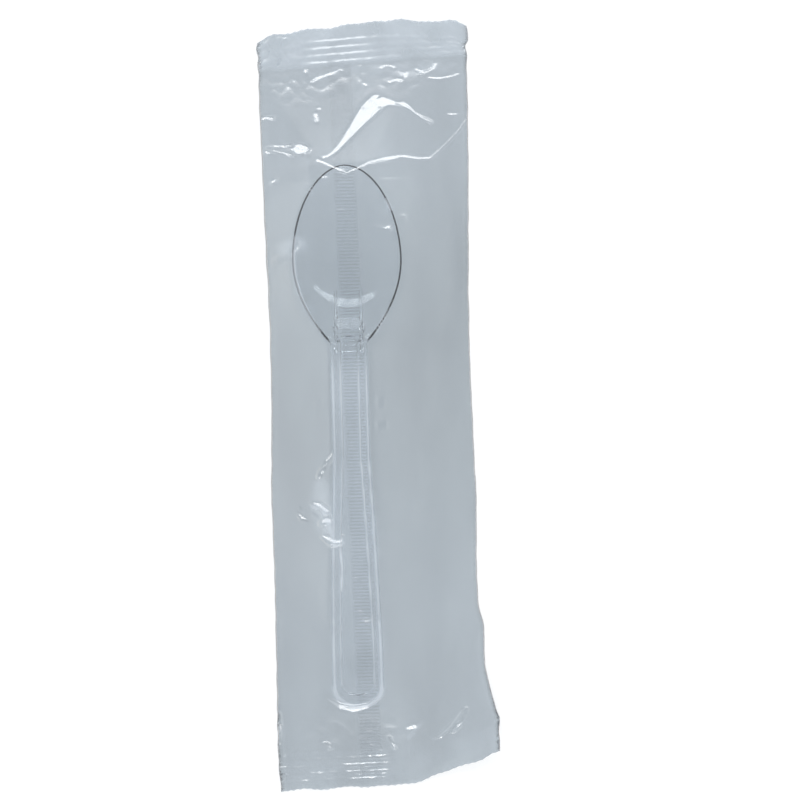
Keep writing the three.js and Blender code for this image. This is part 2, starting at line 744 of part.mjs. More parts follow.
const clearStyrene = new THREE.MeshStandardMaterial({
  color: 0xc3cdd3,
  roughness: 0.12,
  metalness: 0,
  transparent: true,
  opacity: 0.55,
});
const clearFilm = new THREE.MeshStandardMaterial({
  color: 0xb6c3cc,
  roughness: 0.16,
  metalness: 0,
  transparent: true,
  opacity: 0.35,
});

const spoon = new THREE.Mesh(geometryOf(makeSpoon()), clearStyrene);
spoon.name = "spoon";
spoon.position.set(SPOON_OFFSET, 0, spoonRest);

const filmWrapper = new THREE.Mesh(geometryOf(makeSleeve()), clearFilm);
filmWrapper.name = "film_wrapper";

const pack = new THREE.Group();
pack.add(filmWrapper, spoon);

// The origin is the middle of the pack's footprint, on the table.
const box = new THREE.Box3().setFromObject(filmWrapper);
const centre = box.getCenter(new THREE.Vector3());
pack.position.set(-centre.x, -centre.y, -box.min.z);

export default pack;
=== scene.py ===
"""A clear spoon in a crimped sleeve of clear film, seen from straight above."""

import math

import bpy
import numpy as np
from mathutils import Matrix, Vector, noise
from mathutils.bvhtree import BVHTree


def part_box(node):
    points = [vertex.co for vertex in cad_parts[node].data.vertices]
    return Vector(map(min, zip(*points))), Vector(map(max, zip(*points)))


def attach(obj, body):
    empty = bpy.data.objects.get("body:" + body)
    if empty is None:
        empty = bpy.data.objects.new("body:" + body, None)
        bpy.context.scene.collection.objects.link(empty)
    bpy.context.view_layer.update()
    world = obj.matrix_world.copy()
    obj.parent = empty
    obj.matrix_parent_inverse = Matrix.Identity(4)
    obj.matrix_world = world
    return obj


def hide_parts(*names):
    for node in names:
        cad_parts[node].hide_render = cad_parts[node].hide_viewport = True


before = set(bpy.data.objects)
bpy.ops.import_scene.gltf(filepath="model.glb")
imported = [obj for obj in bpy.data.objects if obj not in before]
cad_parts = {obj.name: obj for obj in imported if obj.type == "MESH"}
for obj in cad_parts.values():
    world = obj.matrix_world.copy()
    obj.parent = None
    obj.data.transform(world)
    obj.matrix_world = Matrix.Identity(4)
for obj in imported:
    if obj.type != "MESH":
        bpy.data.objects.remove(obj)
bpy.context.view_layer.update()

MM = 0.001

# How the photograph lies over the pack
FRAME_PIXELS = 800
MM_PER_PIXEL = 0.2963
TIP_PIXEL = (345.0, 167.0)
PACK_ROLL = math.radians(1.5)
CAMERA_HEIGHT = 0.65
SENSOR_WIDTH = 36.0

# The spoon's bowl, in millimetres from the tip
SPOON_LENGTH = 160.0
BOWL_WIDTH = 32.1
BOWL_FRONT = 27.7
BOWL_TAIL = 30.5
BOWL_NOSE_POWER = 1.9
BOWL_NOSE_ROUND = 0.52
BOWL_DEPTH = 5.5
BOWL_WALL = 1.1
BOWL_WALL_SWELL = 0.25
BOWL_FULLNESS = 2.6
BOWL_END_ROUND = 0.8
BOWL_SIDE_POWER = 2.3
BOWL_RIM_HEIGHT = 6.7
TIP_RIM_HEIGHT = 6.2

# Its neck and handle
CROWN_FROM_TIP = 62.0
CROWN_HEIGHT = 13.2
NECK_WIDTH = 10.8
NECK_FILLET = 0.9
WALL_BEFORE_NECK = 9.0
WALL_PAST_NECK = 3.0
GRIP_WIDTH = 15.3
TAPER_START = 85.0
TAPER_LENGTH = 60.0
TAPER_EASE = 0.5
HANDLE_HEIGHT = 2.3
HANDLE_END_ROUND = 6.0
EDGE_ROUND = 0.28
ARCH_POWER = 1.4
RIM_BAND = 2.8
END_BAND = 3.9
PANEL_THICKNESS = 1.2
PANEL_START = 50.5
PANEL_START_ROUNDING = 0.75
PANEL_STEP = 4.2
PANEL_STEP_DEPTH = 0.5
PANEL_DRAFT = 0.35
PANEL_ROUND = 0.8
PANEL_END_ROUND = 3.2
RIB_START = 36.5
RIB_PAST_BOWL = 3.0
RIB_WIDTH = 0.9
RIB_DEPTH = 1.1
RIB_SPREAD = 7.6
RIB_SIDE = 0.1
RIB_SWELL_POWER = 0.8

# The film sleeve, in millimetres
TUBE_WIDTH = 61.6
HEAD_ROOM = 30.0
FOOT_ROOM = 13.0
SPOON_OFFSET = -6.0
WAIST_PULL = 1.5
WAIST_BEFORE_CROWN = 8.0
WAIST_LENGTH = 48.0
SIDE_TAPER = 0.8
SIDE_TAPER_ROOM = 81.0
SIDE_TAPER_LENGTH = 30.0
FOLD_HEIGHT = 0.7
FOLD_NOSE = 0.25
SEAL_GAP = 0.1
CREST_MARGIN = 0.6
CREST_NOSE_SHARE = 0.62
CREST_NOSE_LENGTH = 9.0
CREST_WIDEST_SHARE = 0.36
HEAD_FALL = 1.15
FOOT_FALL = 1.3
FLANK_SAG = 1.12
TAUT_START = 4.0
FILM_OVER_SPOON = 0.25

# Its end seals, pulled corner and fin
CRIMP_PITCH = 2.1
CRIMP_COUNT = 4
CRIMP_HEIGHT = 0.3
HEAD_CUT_MARGIN = 3.2
FOOT_CUT_MARGIN = 2.0
HEAD_CRIMP_SLOPE = math.tan(math.radians(3.5))
HEAD_CUT_SLOPE = math.tan(math.radians(6.3))
FOOT_CRIMP_SLOPE = math.tan(math.radians(1.2))
LEAN_REACH = 60.0
TOOTH_PITCH = 2.0
TOOTH_DEPTH = 0.4
CORNER_START = 8.0
CORNER_RISE = 7.5
CORNER_BEND = 1.15
CORNER_LENGTH = 34.0
CORNER_LIFT = 2.6
EDGE_STEP = 1.4
EDGE_STEP_ROOM = 43.0
EDGE_STEP_LENGTH = 8.0
EDGE_FLARE = 3.7
EDGE_FLARE_LENGTH = 22.0
EDGE_FLARE_BEND = 1.3
FIN_WIDTH = 6.8
FIN_CENTRE = -4.7
FIN_LEAN = math.tan(math.radians(1.1))
FIN_GAP = 0.22
FIN_MARGIN = 0.7
FIN_RAMP = 2.5
VENT_OFFSET = 9.0
VENT_WIDTH = 2.6
VENT_HEIGHT = 0.5
VENT_LEAD = 5.0

HALF_BOWL = BOWL_WIDTH / 2
HALF_NECK = NECK_WIDTH / 2
HALF_GRIP = GRIP_WIDTH / 2
BOWL_END = BOWL_FRONT + BOWL_TAIL * math.sqrt(1 - HALF_NECK / HALF_BOWL)
CRIMP_LENGTH = CRIMP_COUNT * CRIMP_PITCH
HEAD_SEAL = -HEAD_ROOM
FOOT_SEAL = SPOON_LENGTH + FOOT_ROOM
HEAD_SEAL_LENGTH = CRIMP_LENGTH + HEAD_CUT_MARGIN
FOOT_SEAL_LENGTH = CRIMP_LENGTH + FOOT_CUT_MARGIN

spoon_low, spoon_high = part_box("spoon")
SPOON_X = (spoon_low[0] + spoon_high[0]) / 2
TIP_Y = spoon_high[1]
SPOON_REST = spoon_low[2] / MM


def model_point(across, along, height):
    """A point of the pack, in metres, from millimetres across, from the tip, and up."""
    return (SPOON_X + (across - SPOON_OFFSET) * MM, TIP_Y - along * MM, height * MM)


def film_xy(across, y):
    """Model x and y, in metres, of places of the film, from millimetres across and from the tip along y."""
    return SPOON_X + (across - SPOON_OFFSET) * MM, TIP_Y + y * MM


def photo_to_pack(pixel):
    """The place under a pixel of the photograph, as millimetres across and from the tip."""
    right = (pixel[0] - TIP_PIXEL[0]) * MM_PER_PIXEL
    up = (TIP_PIXEL[1] - pixel[1]) * MM_PER_PIXEL
    across = right * math.cos(PACK_ROLL) + up * math.sin(PACK_ROLL) + SPOON_OFFSET
    along = right * math.sin(PACK_ROLL) - up * math.cos(PACK_ROLL)
    return across, along


def smooth(value, low, high):
    """A share that eases from 0 at low to 1 at high."""
    share = np.clip((value - low) / (high - low), 0, 1)
    return share * share * (3 - 2 * share)


def mix(a, b, share):
    return a + (b - a) * share


# Camera

def add_camera():
    centre = photo_to_pack((FRAME_PIXELS / 2, FRAME_PIXELS / 2))
    x, y, _ = model_point(centre[0], centre[1], 0)
    data = bpy.data.cameras.new("camera")
    data.sensor_width = SENSOR_WIDTH
    data.lens = SENSOR_WIDTH * CAMERA_HEIGHT / (FRAME_PIXELS * MM_PER_PIXEL * MM)
    camera = bpy.data.objects.new("camera", data)
    camera.location = (x, y, CAMERA_HEIGHT)
    camera.rotation_euler = (0, 0, -PACK_ROLL)
    bpy.context.scene.collection.objects.link(camera)
    bpy.context.scene.camera = camera
    return camera


# Studio

KEY_AZIMUTH = 4.0
KEY_TILT = 50.0
KEY_DISTANCE = 1.6
KEY_SIZE = (2.4, 0.2)
KEY_RADIANCE = 10.5
LOW_AZIMUTH = 184.0
LOW_TILT = 60.0
LOW_DISTANCE = 1.6
LOW_SIZE = (0.9, 0.15)
LOW_RADIANCE = 14

# The world's light by the sine of its height: as bright as the horizon up to one, as overhead from the other
SKY_COLOUR = (0.93, 0.96, 1.0)
OVERHEAD = 0.38
HORIZON = 1.1
HORIZON_UP_TO = 0.45
OVERHEAD_FROM = 0.8

FLOOR_SIZE = 6
FLOOR_LEVEL = -0.0002
FLOOR_PAINT = (0.86, 0.87, 0.88)
FLOOR_GLOW = 1.25
FLOOR_GLOW_SHARE = 0.55


def lamp_direction(azimuth, tilt):
    """Azimuth 0 is beyond the spoon's tip, and tilt is measured from straight up."""
    turn = math.radians(azimuth)
    lean = math.radians(tilt)
    return Vector((math.sin(turn) * math.sin(lean), math.cos(turn) * math.sin(lean), math.cos(lean)))


def add_lamp(name, direction, distance, size, radiance):
    data = bpy.data.lights.new(name, "AREA")
    data.shape = "RECTANGLE"
    data.size, data.size_y = size
    data.energy = radiance * math.pi * size[0] * size[1]
    lamp = bpy.data.objects.new(name, data)
    lamp.location = direction * distance
    lamp.rotation_euler = direction.to_track_quat("Z", "Y").to_euler()
    bpy.context.scene.collection.objects.link(lamp)
    return lamp


def add_math(tree, operation, *values, clamp=False):
    """A Math node on values that are numbers or other nodes' sockets; gives its output."""
    node = tree.nodes.new("ShaderNodeMath")
    node.operation = operation
    node.use_clamp = clamp
    for socket, value in zip(node.inputs, values):
        if isinstance(value, (int, float)):
            socket.default_value = value
        else:
            tree.links.new(value, socket)
    return node.outputs[0]


def add_world():
    """Dim overhead and brighter towards the horizon, so that steep edges catch a light line."""
    world = bpy.data.worlds.new("studio")
    world.use_nodes = True
    tree = world.node_tree
    background = tree.nodes["Background"]
    background.inputs["Color"].default_value = (*SKY_COLOUR, 1)
    coords = tree.nodes.new("ShaderNodeTexCoord")
    split = tree.nodes.new("ShaderNodeSeparateXYZ")
    fall = tree.nodes.new("ShaderNodeMapRange")
    fall.interpolation_type = "SMOOTHSTEP"
    fall.inputs["From Min"].default_value = HORIZON_UP_TO
    fall.inputs["From Max"].default_value = OVERHEAD_FROM
    fall.inputs["To Min"].default_value = HORIZON
    fall.inputs["To Max"].default_value = OVERHEAD
    tree.links.new(coords.outputs["Generated"], split.inputs[0])
    tree.links.new(split.outputs["Z"], fall.inputs["Value"])
    tree.links.new(fall.outputs["Result"], background.inputs["Strength"])
    bpy.context.scene.world = world


def add_floor():
    """A pale floor that is white to the camera and through the pack, and still takes the pack's shadow."""
    bpy.ops.object.select_all(action="DESELECT")
    bpy.ops.mesh.primitive_plane_add(size=FLOOR_SIZE, location=(0, 0, FLOOR_LEVEL))
    floor = bpy.context.object
    floor.name = "studio_floor"
    material = bpy.data.materials.new("pale_floor")
    material.use_nodes = True
    tree = material.node_tree
    tree.nodes.clear()
    output = tree.nodes.new("ShaderNodeOutputMaterial")
    blend = tree.nodes.new("ShaderNodeMixShader")
    paint = tree.nodes.new("ShaderNodeBsdfDiffuse")
    paint.inputs["Color"].default_value = (*FLOOR_PAINT, 1)
    glow = tree.nodes.new("ShaderNodeEmission")
    glow.inputs["Color"].default_value = (1, 1, 1, 1)
    glow.inputs["Strength"].default_value = FLOOR_GLOW
    path = tree.nodes.new("ShaderNodeLightPath").outputs
    seen = add_math(tree, "MAXIMUM", path["Is Camera Ray"], path["Is Glossy Ray"])
    either = add_math(tree, "MAXIMUM", seen, path["Is Transmission Ray"])
    tree.links.new(add_math(tree, "MULTIPLY", either, FLOOR_GLOW_SHARE), blend.inputs["Fac"])
    tree.links.new(paint.outputs[0], blend.inputs[1])
    tree.links.new(glow.outputs[0], blend.inputs[2])
    tree.links.new(blend.outputs[0], output.inputs["Surface"])
    floor.data.materials.append(material)


# Materials

FILM_IOR = 1.5
FILM_CLEAR = (0.766, 0.804, 0.829)
FILM_CLOUDY = (0.672, 0.707, 0.731)
FIN_CLEAR = (1.0, 1.0, 1.0)
FIN_CLOUDY = (0.975, 0.975, 0.975)
HAZE_COLOUR = (0.80, 0.86, 0.93)
MOTTLE_SHARE = 0.5
# How far whitening and painted sheen lighten the tint, and below, how far they dull the gloss
WHITENING_AND_SHEEN_TINT = 2.5
FILM_ROUGHNESS = 0.18
WHITENING_AND_SHEEN_ROUGHNESS = 0.22
STYRENE_COLOUR = (0.955, 0.966, 0.98)
STYRENE_SHADOW = (0.9, 0.92, 0.93)
STYRENE_IOR = 1.59
STYRENE_GLINT = 0.45


def soft_variation_group():
    """Clouds that stretch along the piece, and a fine grain as a normal."""
    group = bpy.data.node_groups.new("soft_variation", "ShaderNodeTree")
    for name in ("Cloud Scale", "Grain Scale", "Grain Height"):
        group.interface.new_socket(name=name, in_out="INPUT", socket_type="NodeSocketFloat")
    group.interface.new_socket(name="Clouds", in_out="OUTPUT", socket_type="NodeSocketFloat")
    group.interface.new_socket(name="Normal", in_out="OUTPUT", socket_type="NodeSocketVector")
    nodes = group.nodes
    given = nodes.new("NodeGroupInput").outputs
    result = nodes.new("NodeGroupOutput").inputs
    coords = nodes.new("ShaderNodeTexCoord")
    stretch = nodes.new("ShaderNodeMapping")
    stretch.inputs["Scale"].default_value = (1, 0.35, 1)
    clouds = nodes.new("ShaderNodeTexNoise")
    clouds.inputs["Detail"].default_value = 3
    grain = nodes.new("ShaderNodeTexNoise")
    grain.inputs["Detail"].default_value = 2
    ripple = nodes.new("ShaderNodeBump")
    ripple.inputs["Strength"].default_value = 0.12
    links = group.links
    links.new(coords.outputs["Object"], stretch.inputs["Vector"])
    links.new(stretch.outputs["Vector"], clouds.inputs["Vector"])
    links.new(given["Cloud Scale"], clouds.inputs["Scale"])
    links.new(coords.outputs["Object"], grain.inputs["Vector"])
    links.new(given["Grain Scale"], grain.inputs["Scale"])
    links.new(grain.outputs["Fac"], ripple.inputs["Height"])
    links.new(given["Grain Height"], ripple.inputs["Distance"])
    links.new(clouds.outputs["Fac"], result["Clouds"])
    links.new(ripple.outputs["Normal"], result["Normal"])
    return group


def add_variation(tree, group, cloud_scale, grain_scale, grain_height):
    node = tree.nodes.new("ShaderNodeGroup")
    node.node_tree = group
    node.inputs["Cloud Scale"].default_value = cloud_scale
    node.inputs["Grain Scale"].default_value = grain_scale
    node.inputs["Grain Height"].default_value = grain_height
    return node.outputs


def film_material(name, clear, cloudy, haze_share, whitening_and_sheen_haze, faces, variation):
    """Thin film: it tints what lies behind it and mirrors the lamps off both of its faces.

    Where the film is whitened, in crimps and ribs, it is whiter and duller. The same share also holds
    painted highlight lines along the spoon's rims and patches of painted sheen beside the folds, made whiter
    and duller the same way. Faces is how many times one face's share of mirrored light the film gives.
    """
    material = bpy.data.materials.new(name)
    material.use_nodes = True
    tree = material.node_tree
    links = tree.links
    tree.nodes.clear()
    output = tree.nodes.new("ShaderNodeOutputMaterial")
    surface = add_variation(tree, variation, cloud_scale=55, grain_scale=900, grain_height=0.00025)
    # Whitening of crimps and ribs, and painted highlights and sheen: a lighter tint, more haze and duller
    # gloss
    whitening_and_sheen = tree.nodes.new("ShaderNodeAttribute")
    whitening_and_sheen.attribute_name = "whitening_and_sheen"
    whitening_and_sheen = whitening_and_sheen.outputs["Fac"]
    side = tree.nodes.new("ShaderNodeNewGeometry")
    see_through = tree.nodes.new("ShaderNodeBsdfTransparent")
    haze = tree.nodes.new("ShaderNodeBsdfDiffuse")
    haze.inputs["Color"].default_value = (*HAZE_COLOUR, 1)
    gloss = tree.nodes.new("ShaderNodeBsdfGlossy")
    misty = tree.nodes.new("ShaderNodeMixShader")
    shine = tree.nodes.new("ShaderNodeMixShader")
    fresnel = tree.nodes.new("ShaderNodeFresnel")
    contrast = tree.nodes.new("ShaderNodeMapRange")
    contrast.inputs["From Min"].default_value = 0.35
    contrast.inputs["From Max"].default_value = 0.65
    tint = tree.nodes.new("ShaderNodeMix")
    tint.data_type = "RGBA"
    tint.inputs["A"].default_value = (*cloudy, 1)
    tint.inputs["B"].default_value = (*clear, 1)
    index = add_math(tree, "MULTIPLY_ADD", side.outputs["Backfacing"], 1 / FILM_IOR - FILM_IOR, FILM_IOR)
    links.new(surface["Clouds"], contrast.inputs["Value"])
    mottled = add_math(tree, "MULTIPLY", contrast.outputs["Result"], MOTTLE_SHARE)
    lighter = add_math(tree, "MULTIPLY_ADD", whitening_and_sheen, WHITENING_AND_SHEEN_TINT, mottled, clamp=True)
    links.new(lighter, tint.inputs["Factor"])
    links.new(tint.outputs["Result"], see_through.inputs["Color"])
    links.new(add_math(tree, "MULTIPLY_ADD", whitening_and_sheen, whitening_and_sheen_haze, haze_share), misty.inputs["Fac"])
    duller = add_math(tree, "MULTIPLY_ADD", whitening_and_sheen, WHITENING_AND_SHEEN_ROUGHNESS, FILM_ROUGHNESS)
    links.new(duller, gloss.inputs["Roughness"])
    links.new(surface["Normal"], gloss.inputs["Normal"])
    links.new(see_through.outputs[0], misty.inputs[1])
    links.new(haze.outputs[0], misty.inputs[2])
    links.new(index, fresnel.inputs["IOR"])
    links.new(add_math(tree, "MULTIPLY", fresnel.outputs[0], faces, clamp=True), shine.inputs["Fac"])
    links.new(misty.outputs[0], shine.inputs[1])
    links.new(gloss.outputs[0], shine.inputs[2])
    links.new(shine.outputs[0], output.inputs["Surface"])
    return material


def clear_styrene(variation):
    """Clear moulded plastic that lets the lamps through to what lies under it."""
    material = bpy.data.materials.new("clear_styrene")
    material.use_nodes = True
    tree = material.node_tree
    links = tree.links
    body = tree.nodes["Principled BSDF"]
    body.inputs["Base Color"].default_value = (*STYRENE_COLOUR, 1)
    body.inputs["IOR"].default_value = STYRENE_IOR
    body.inputs["Specular Tint"].default_value = (STYRENE_GLINT, STYRENE_GLINT, STYRENE_GLINT, 1)
    body.inputs["Transmission Weight"].default_value = 1.0
    flow = add_variation(tree, variation, cloud_scale=130, grain_scale=260, grain_height=0.0002)
    polish = tree.nodes.new("ShaderNodeMapRange")
    polish.inputs["To Min"].default_value = 0.01
    polish.inputs["To Max"].default_value = 0.05
    output = tree.nodes["Material Output"]
    path = tree.nodes.new("ShaderNodeLightPath")
    lamp_light = tree.nodes.new("ShaderNodeBsdfTransparent")
    lamp_light.inputs["Color"].default_value = (*STYRENE_SHADOW, 1)
    choose = tree.nodes.new("ShaderNodeMixShader")
    links.new(flow["Clouds"], polish.inputs["Value"])
    links.new(polish.outputs["Result"], body.inputs["Roughness"])
    links.new(flow["Normal"], body.inputs["Normal"])
    links.new(path.outputs["Is Shadow Ray"], choose.inputs["Fac"])
    links.new(body.outputs[0], choose.inputs[1])
    links.new(lamp_light.outputs[0], choose.inputs[2])
    links.new(choose.outputs[0], output.inputs["Surface"])
    return material


# Spoon form

THINNEST_HALF = 0.15


def full_half_width(along):
    taper = min(max((along - TAPER_START) / TAPER_LENGTH, 0), 1)
    return mix(HALF_NECK, HALF_GRIP, taper * (1 + TAPER_EASE - TAPER_EASE * taper))


def half_width(along):
    """Half the spoon's width at a distance from its tip."""
    if along < BOWL_FRONT:
        ahead = (BOWL_FRONT - along) / BOWL_FRONT
        return HALF_BOWL * max(1 - ahead ** BOWL_NOSE_POWER, 0) ** BOWL_NOSE_ROUND
    behind = (along - BOWL_FRONT) / BOWL_TAIL
    bowl = HALF_BOWL * (1 - behind * behind)
    into_round = min(max((along - (SPOON_LENGTH - HANDLE_END_ROUND)) / HANDLE_END_ROUND, 0), 1)
    handle = full_half_width(along) * math.sqrt(max(1 - into_round * into_round, 0))
    difference = bowl - handle
    eased = (bowl + handle + math.hypot(difference, NECK_FILLET)) / 2
    return eased - NECK_FILLET / 2 * math.exp(-abs(difference))


def top_height(along):
    """Height of the spoon's rim or handle top above its lowest point."""
    if along < BOWL_FRONT:
        ahead = (BOWL_FRONT - along) / BOWL_FRONT
        return mix(BOWL_RIM_HEIGHT, TIP_RIM_HEIGHT, ahead * ahead)
    if along < CROWN_FROM_TIP:
        return mix(BOWL_RIM_HEIGHT, CROWN_HEIGHT, float(smooth(along, BOWL_FRONT, CROWN_FROM_TIP)))
    down = min(max((along - CROWN_FROM_TIP) / (SPOON_LENGTH - CROWN_FROM_TIP), 0), 1)
    return mix(HANDLE_HEIGHT, CROWN_HEIGHT, max(math.cos(down * math.pi / 2), 0) ** ARCH_POWER)


def bowl_hollow(along, across):
    """How deep the bowl is at a share of the way out to its rim."""
    reach = BOWL_FRONT if along < BOWL_FRONT else BOWL_END - BOWL_FRONT
    off = min(max(abs(along - BOWL_FRONT) / reach, 0), 1)
    lengthwise = max(1 - off ** BOWL_FULLNESS, 0) ** BOWL_END_ROUND
    return BOWL_DEPTH * lengthwise * (1 - abs(across) ** BOWL_SIDE_POWER)


def panel_depth(along, offset):
    """How far the handle's panel is sunk at a distance from its centre line."""
    finish = SPOON_LENGTH - END_BAND
    if along < PANEL_START or along > finish:
        return 0.0
    from_finish = min(max(1 - (finish - along) / PANEL_END_ROUND, 0), 1)
    from_start = min(max(1 - (along - PANEL_START) / PANEL_ROUND, 0), 1)
    rounding = math.sqrt(max(1 - from_finish ** 2, 0))
    rounding *= math.sqrt(max(1 - PANEL_START_ROUNDING * from_start ** 2, 0))
    edge = (full_half_width(along) - RIM_BAND) * rounding
    full = HANDLE_HEIGHT - PANEL_THICKNESS
    step_end = PANEL_START + PANEL_STEP
    depth = mix(PANEL_STEP_DEPTH, full, min(max((along - step_end) / PANEL_DRAFT, 0), 1))
    return depth * min(max((edge - offset) / PANEL_DRAFT, 0), 1)


def rib_drop(along, offset):
    """How far the two gusset ribs stand down from the underside, at a distance from the centre line."""
    share = (along - RIB_START) / (BOWL_END + RIB_PAST_BOWL - RIB_START)
    if share <= 0 or share >= 1:
        return 0.0
    from_middle = abs(offset - RIB_SPREAD / 2) - RIB_WIDTH / 2
    side = min(max(-from_middle / RIB_SIDE, 0), 1)
    return RIB_DEPTH * math.sin(share * math.pi) ** RIB_SWELL_POWER * side


# Rows of the spoon's grid: how many, and their places about the panel's ends, closer where the form turns
BOWL_ROWS = 70
HANDLE_ROWS = 60
END_ROWS = 16
CLOSER_TO_TIP = 1.6
PANEL_START_ROWS = (-0.15, 0.05, 0.3, 0.8)
PANEL_STEP_ROWS = (-0.1, 0.1, PANEL_DRAFT, 0.6)
PANEL_FINISH_ROWS = (3.2, 2.4, 1.6, 1.0, 0.6, 0.3, 0.12, 0.02, -0.15)

# Points of one row: shares of the panel, of its wall and of the rim
PANEL_POINTS = (0, 0.2, 0.4, 0.6, 0.76, 0.86)
WALL_POINTS = (1, 0.75, 0.5, 0.25)
RIM_POINTS = (0, 0.08, 0.3, 0.55, 0.78, 0.9, 0.96, 0.99, 1)
LEAST_PANEL_SHARE = 0.3
RIB_REACH_SHARE = 0.94


def spoon_stations():
    """Distances from the tip of the grid's rows."""
    stations = [BOWL_END * (row / BOWL_ROWS) ** CLOSER_TO_TIP for row in range(BOWL_ROWS)]
    finish = SPOON_LENGTH - END_BAND
    stations += [PANEL_START + step for step in PANEL_START_ROWS]
    stations += [PANEL_START + PANEL_STEP + step for step in PANEL_STEP_ROWS]
    stations += [finish - step for step in PANEL_FINISH_ROWS]
    straight = SPOON_LENGTH - HANDLE_END_ROUND
    stations += [mix(BOWL_END, straight, row / HANDLE_ROWS) for row in range(HANDLE_ROWS)]
    for row in range(END_ROWS + 1):
        stations.append(straight + HANDLE_END_ROUND * math.sin(row / END_ROWS * (math.pi / 2)))
    return sorted(stations)


def spoon_offsets(half):
    """Distances of one row's points from the centre line, closest at the panel's wall and the rim."""
    edge = max(half - RIM_BAND, LEAST_PANEL_SHARE * half)
    floor = [edge * share for share in PANEL_POINTS]
    wall = [max(edge - PANEL_DRAFT * share, edge * (0.98 - 0.06 * share)) for share in WALL_POINTS]
    band = [mix(edge, half, share) for share in RIM_POINTS]
    reach = RIB_WIDTH / 2
    steps = (-reach, RIB_SIDE - reach, reach - RIB_SIDE, reach)
    ribs = [min(RIB_SPREAD / 2 + step, RIB_REACH_SHARE * half) for step in steps]
    side = sorted(floor + wall + ribs + band)
    return [-value for value in reversed(side[1:])] + side


def spoon_faces(along):
    """One row of the spoon: across, and the heights of its top and its underside."""
    half = max(half_width(along), THINNEST_HALF)
    top = top_height(along)
    to_handle = float(smooth(along, BOWL_END - WALL_BEFORE_NECK, BOWL_END + WALL_PAST_NECK))
    wall = mix(BOWL_WALL, HANDLE_HEIGHT, to_handle)
    row = []
    for offset in spoon_offsets(half):
        sunk = bowl_hollow(along, offset / half)
        into_edge = max(abs(offset) - (half - EDGE_ROUND), 0) / EDGE_ROUND
        drop = EDGE_ROUND * into_edge ** 2
        steep = 1 + BOWL_WALL_SWELL * (1 - to_handle) * (offset / half) ** 2
        upper = top - sunk - drop - panel_depth(along, abs(offset))
        row.append((offset, upper, top - sunk - wall * steep + drop - rib_drop(along, abs(offset))))
    return row


SLAB_SIZE = 0.1
SLAB_DEPTH = 0.01
MERGE_DISTANCE = 0.000002
SHARPEST_SMOOTH_ANGLE = math.radians(38)


def add_spoon(material):
    """A grid is pulled down into a solid slab, and the slab is pressed to the spoon's top and underside."""
    stations = spoon_stations()
    rows = [spoon_faces(along) for along in stations]
    columns = len(rows[0])
    bpy.ops.object.select_all(action="DESELECT")
    bpy.ops.mesh.primitive_grid_add(x_subdivisions=columns - 1, y_subdivisions=len(rows) - 1, size=SLAB_SIZE)
    spoon = bpy.context.object
    spoon.name = "clear_spoon"
    bpy.ops.object.mode_set(mode="EDIT")
    bpy.ops.mesh.select_all(action="SELECT")
    bpy.ops.mesh.extrude_region_move(TRANSFORM_OT_translate={"value": (0, 0, -SLAB_DEPTH)})
    bpy.ops.object.mode_set(mode="OBJECT")
    mesh = spoon.data
    across_step = SLAB_SIZE / (columns - 1)
    along_step = SLAB_SIZE / (len(rows) - 1)
    for vertex in mesh.vertices:
        column = round((vertex.co.x + SLAB_SIZE / 2) / across_step)
        row = round((SLAB_SIZE / 2 - vertex.co.y) / along_step)
        offset, upper, lower = rows[row][column]
        height = upper if vertex.co.z > -SLAB_DEPTH / 2 else lower
        vertex.co = model_point(SPOON_OFFSET + offset, stations[row], SPOON_REST + height)
    bpy.ops.object.mode_set(mode="EDIT")
    bpy.ops.mesh.select_all(action="SELECT")
    bpy.ops.mesh.remove_doubles(threshold=MERGE_DISTANCE)
    bpy.ops.mesh.normals_make_consistent(inside=False)
    bpy.ops.object.mode_set(mode="OBJECT")
    bpy.ops.object.shade_smooth_by_angle(angle=SHARPEST_SMOOTH_ANGLE)
    mesh.materials.append(material)
    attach(spoon, "root")
    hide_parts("spoon")
    return spoon


# Film outline and drape

# The film's rows: where each stretch ends and how many rows it has, closest where the film is crumpled
FILM_ROWS = ((HEAD_SEAL, 34), (5, 156), (80, 84), (128, 104), (150, 36), (FOOT_SEAL, 78))
FOOT_BAND_ROWS = 30
FRONT_CELLS = 160
BACK_CELLS = 26

# How far the head's cut edge is worn down to the right and at its corners, and between which places across
RIGHT_DROP = 3.2
RIGHT_DROP_RANGE = (4, 32)
CORNER_DROP = 2.0
CORNER_DROP_RANGE = (26.5, 31)

# Uneven cut ends and side edges
CUT_WAVE = 0.9
EDGE_WAVE = 0.8
EDGE_BAND_SHARE = 0.44
EDGE_SPREAD = 9
EDGE_WORN = 0.25
HEAD_WORN_RANGE = (22, 34)
FOOT_WORN = 0.6
FOOT_WORN_LENGTH = 20

EDGE_RISE_LENGTH = 8
DRAPE_SMOOTHING = 16


def sleeve_half(along):
    from_waist = (along - CROWN_FROM_TIP + WAIST_BEFORE_CROWN) / WAIST_LENGTH
    taper_start = FOOT_SEAL - SIDE_TAPER_ROOM
    taper = SIDE_TAPER * smooth(along, taper_start, taper_start + SIDE_TAPER_LENGTH)
    return TUBE_WIDTH / 2 - WAIST_PULL * np.exp(-from_waist * from_waist) - taper


def right_edge(along):
    step_start = FOOT_SEAL - EDGE_STEP_ROOM
    step = EDGE_STEP * smooth(along, step_start, step_start + EDGE_STEP_LENGTH)
    flare = np.clip(1 - (FOOT_SEAL - along) / EDGE_FLARE_LENGTH, 0, 1) ** EDGE_FLARE_BEND
    return sleeve_half(along) + step + EDGE_FLARE * flare


def corner_share(across, along):
    """How much a place takes part in the corner that is pulled up by the foot."""
    sideways = np.clip((across - CORNER_START) / (TUBE_WIDTH / 2 - CORNER_START), 0, 1.1)
    return sideways ** CORNER_BEND * smooth(along, FOOT_SEAL - CORNER_LENGTH, FOOT_SEAL)


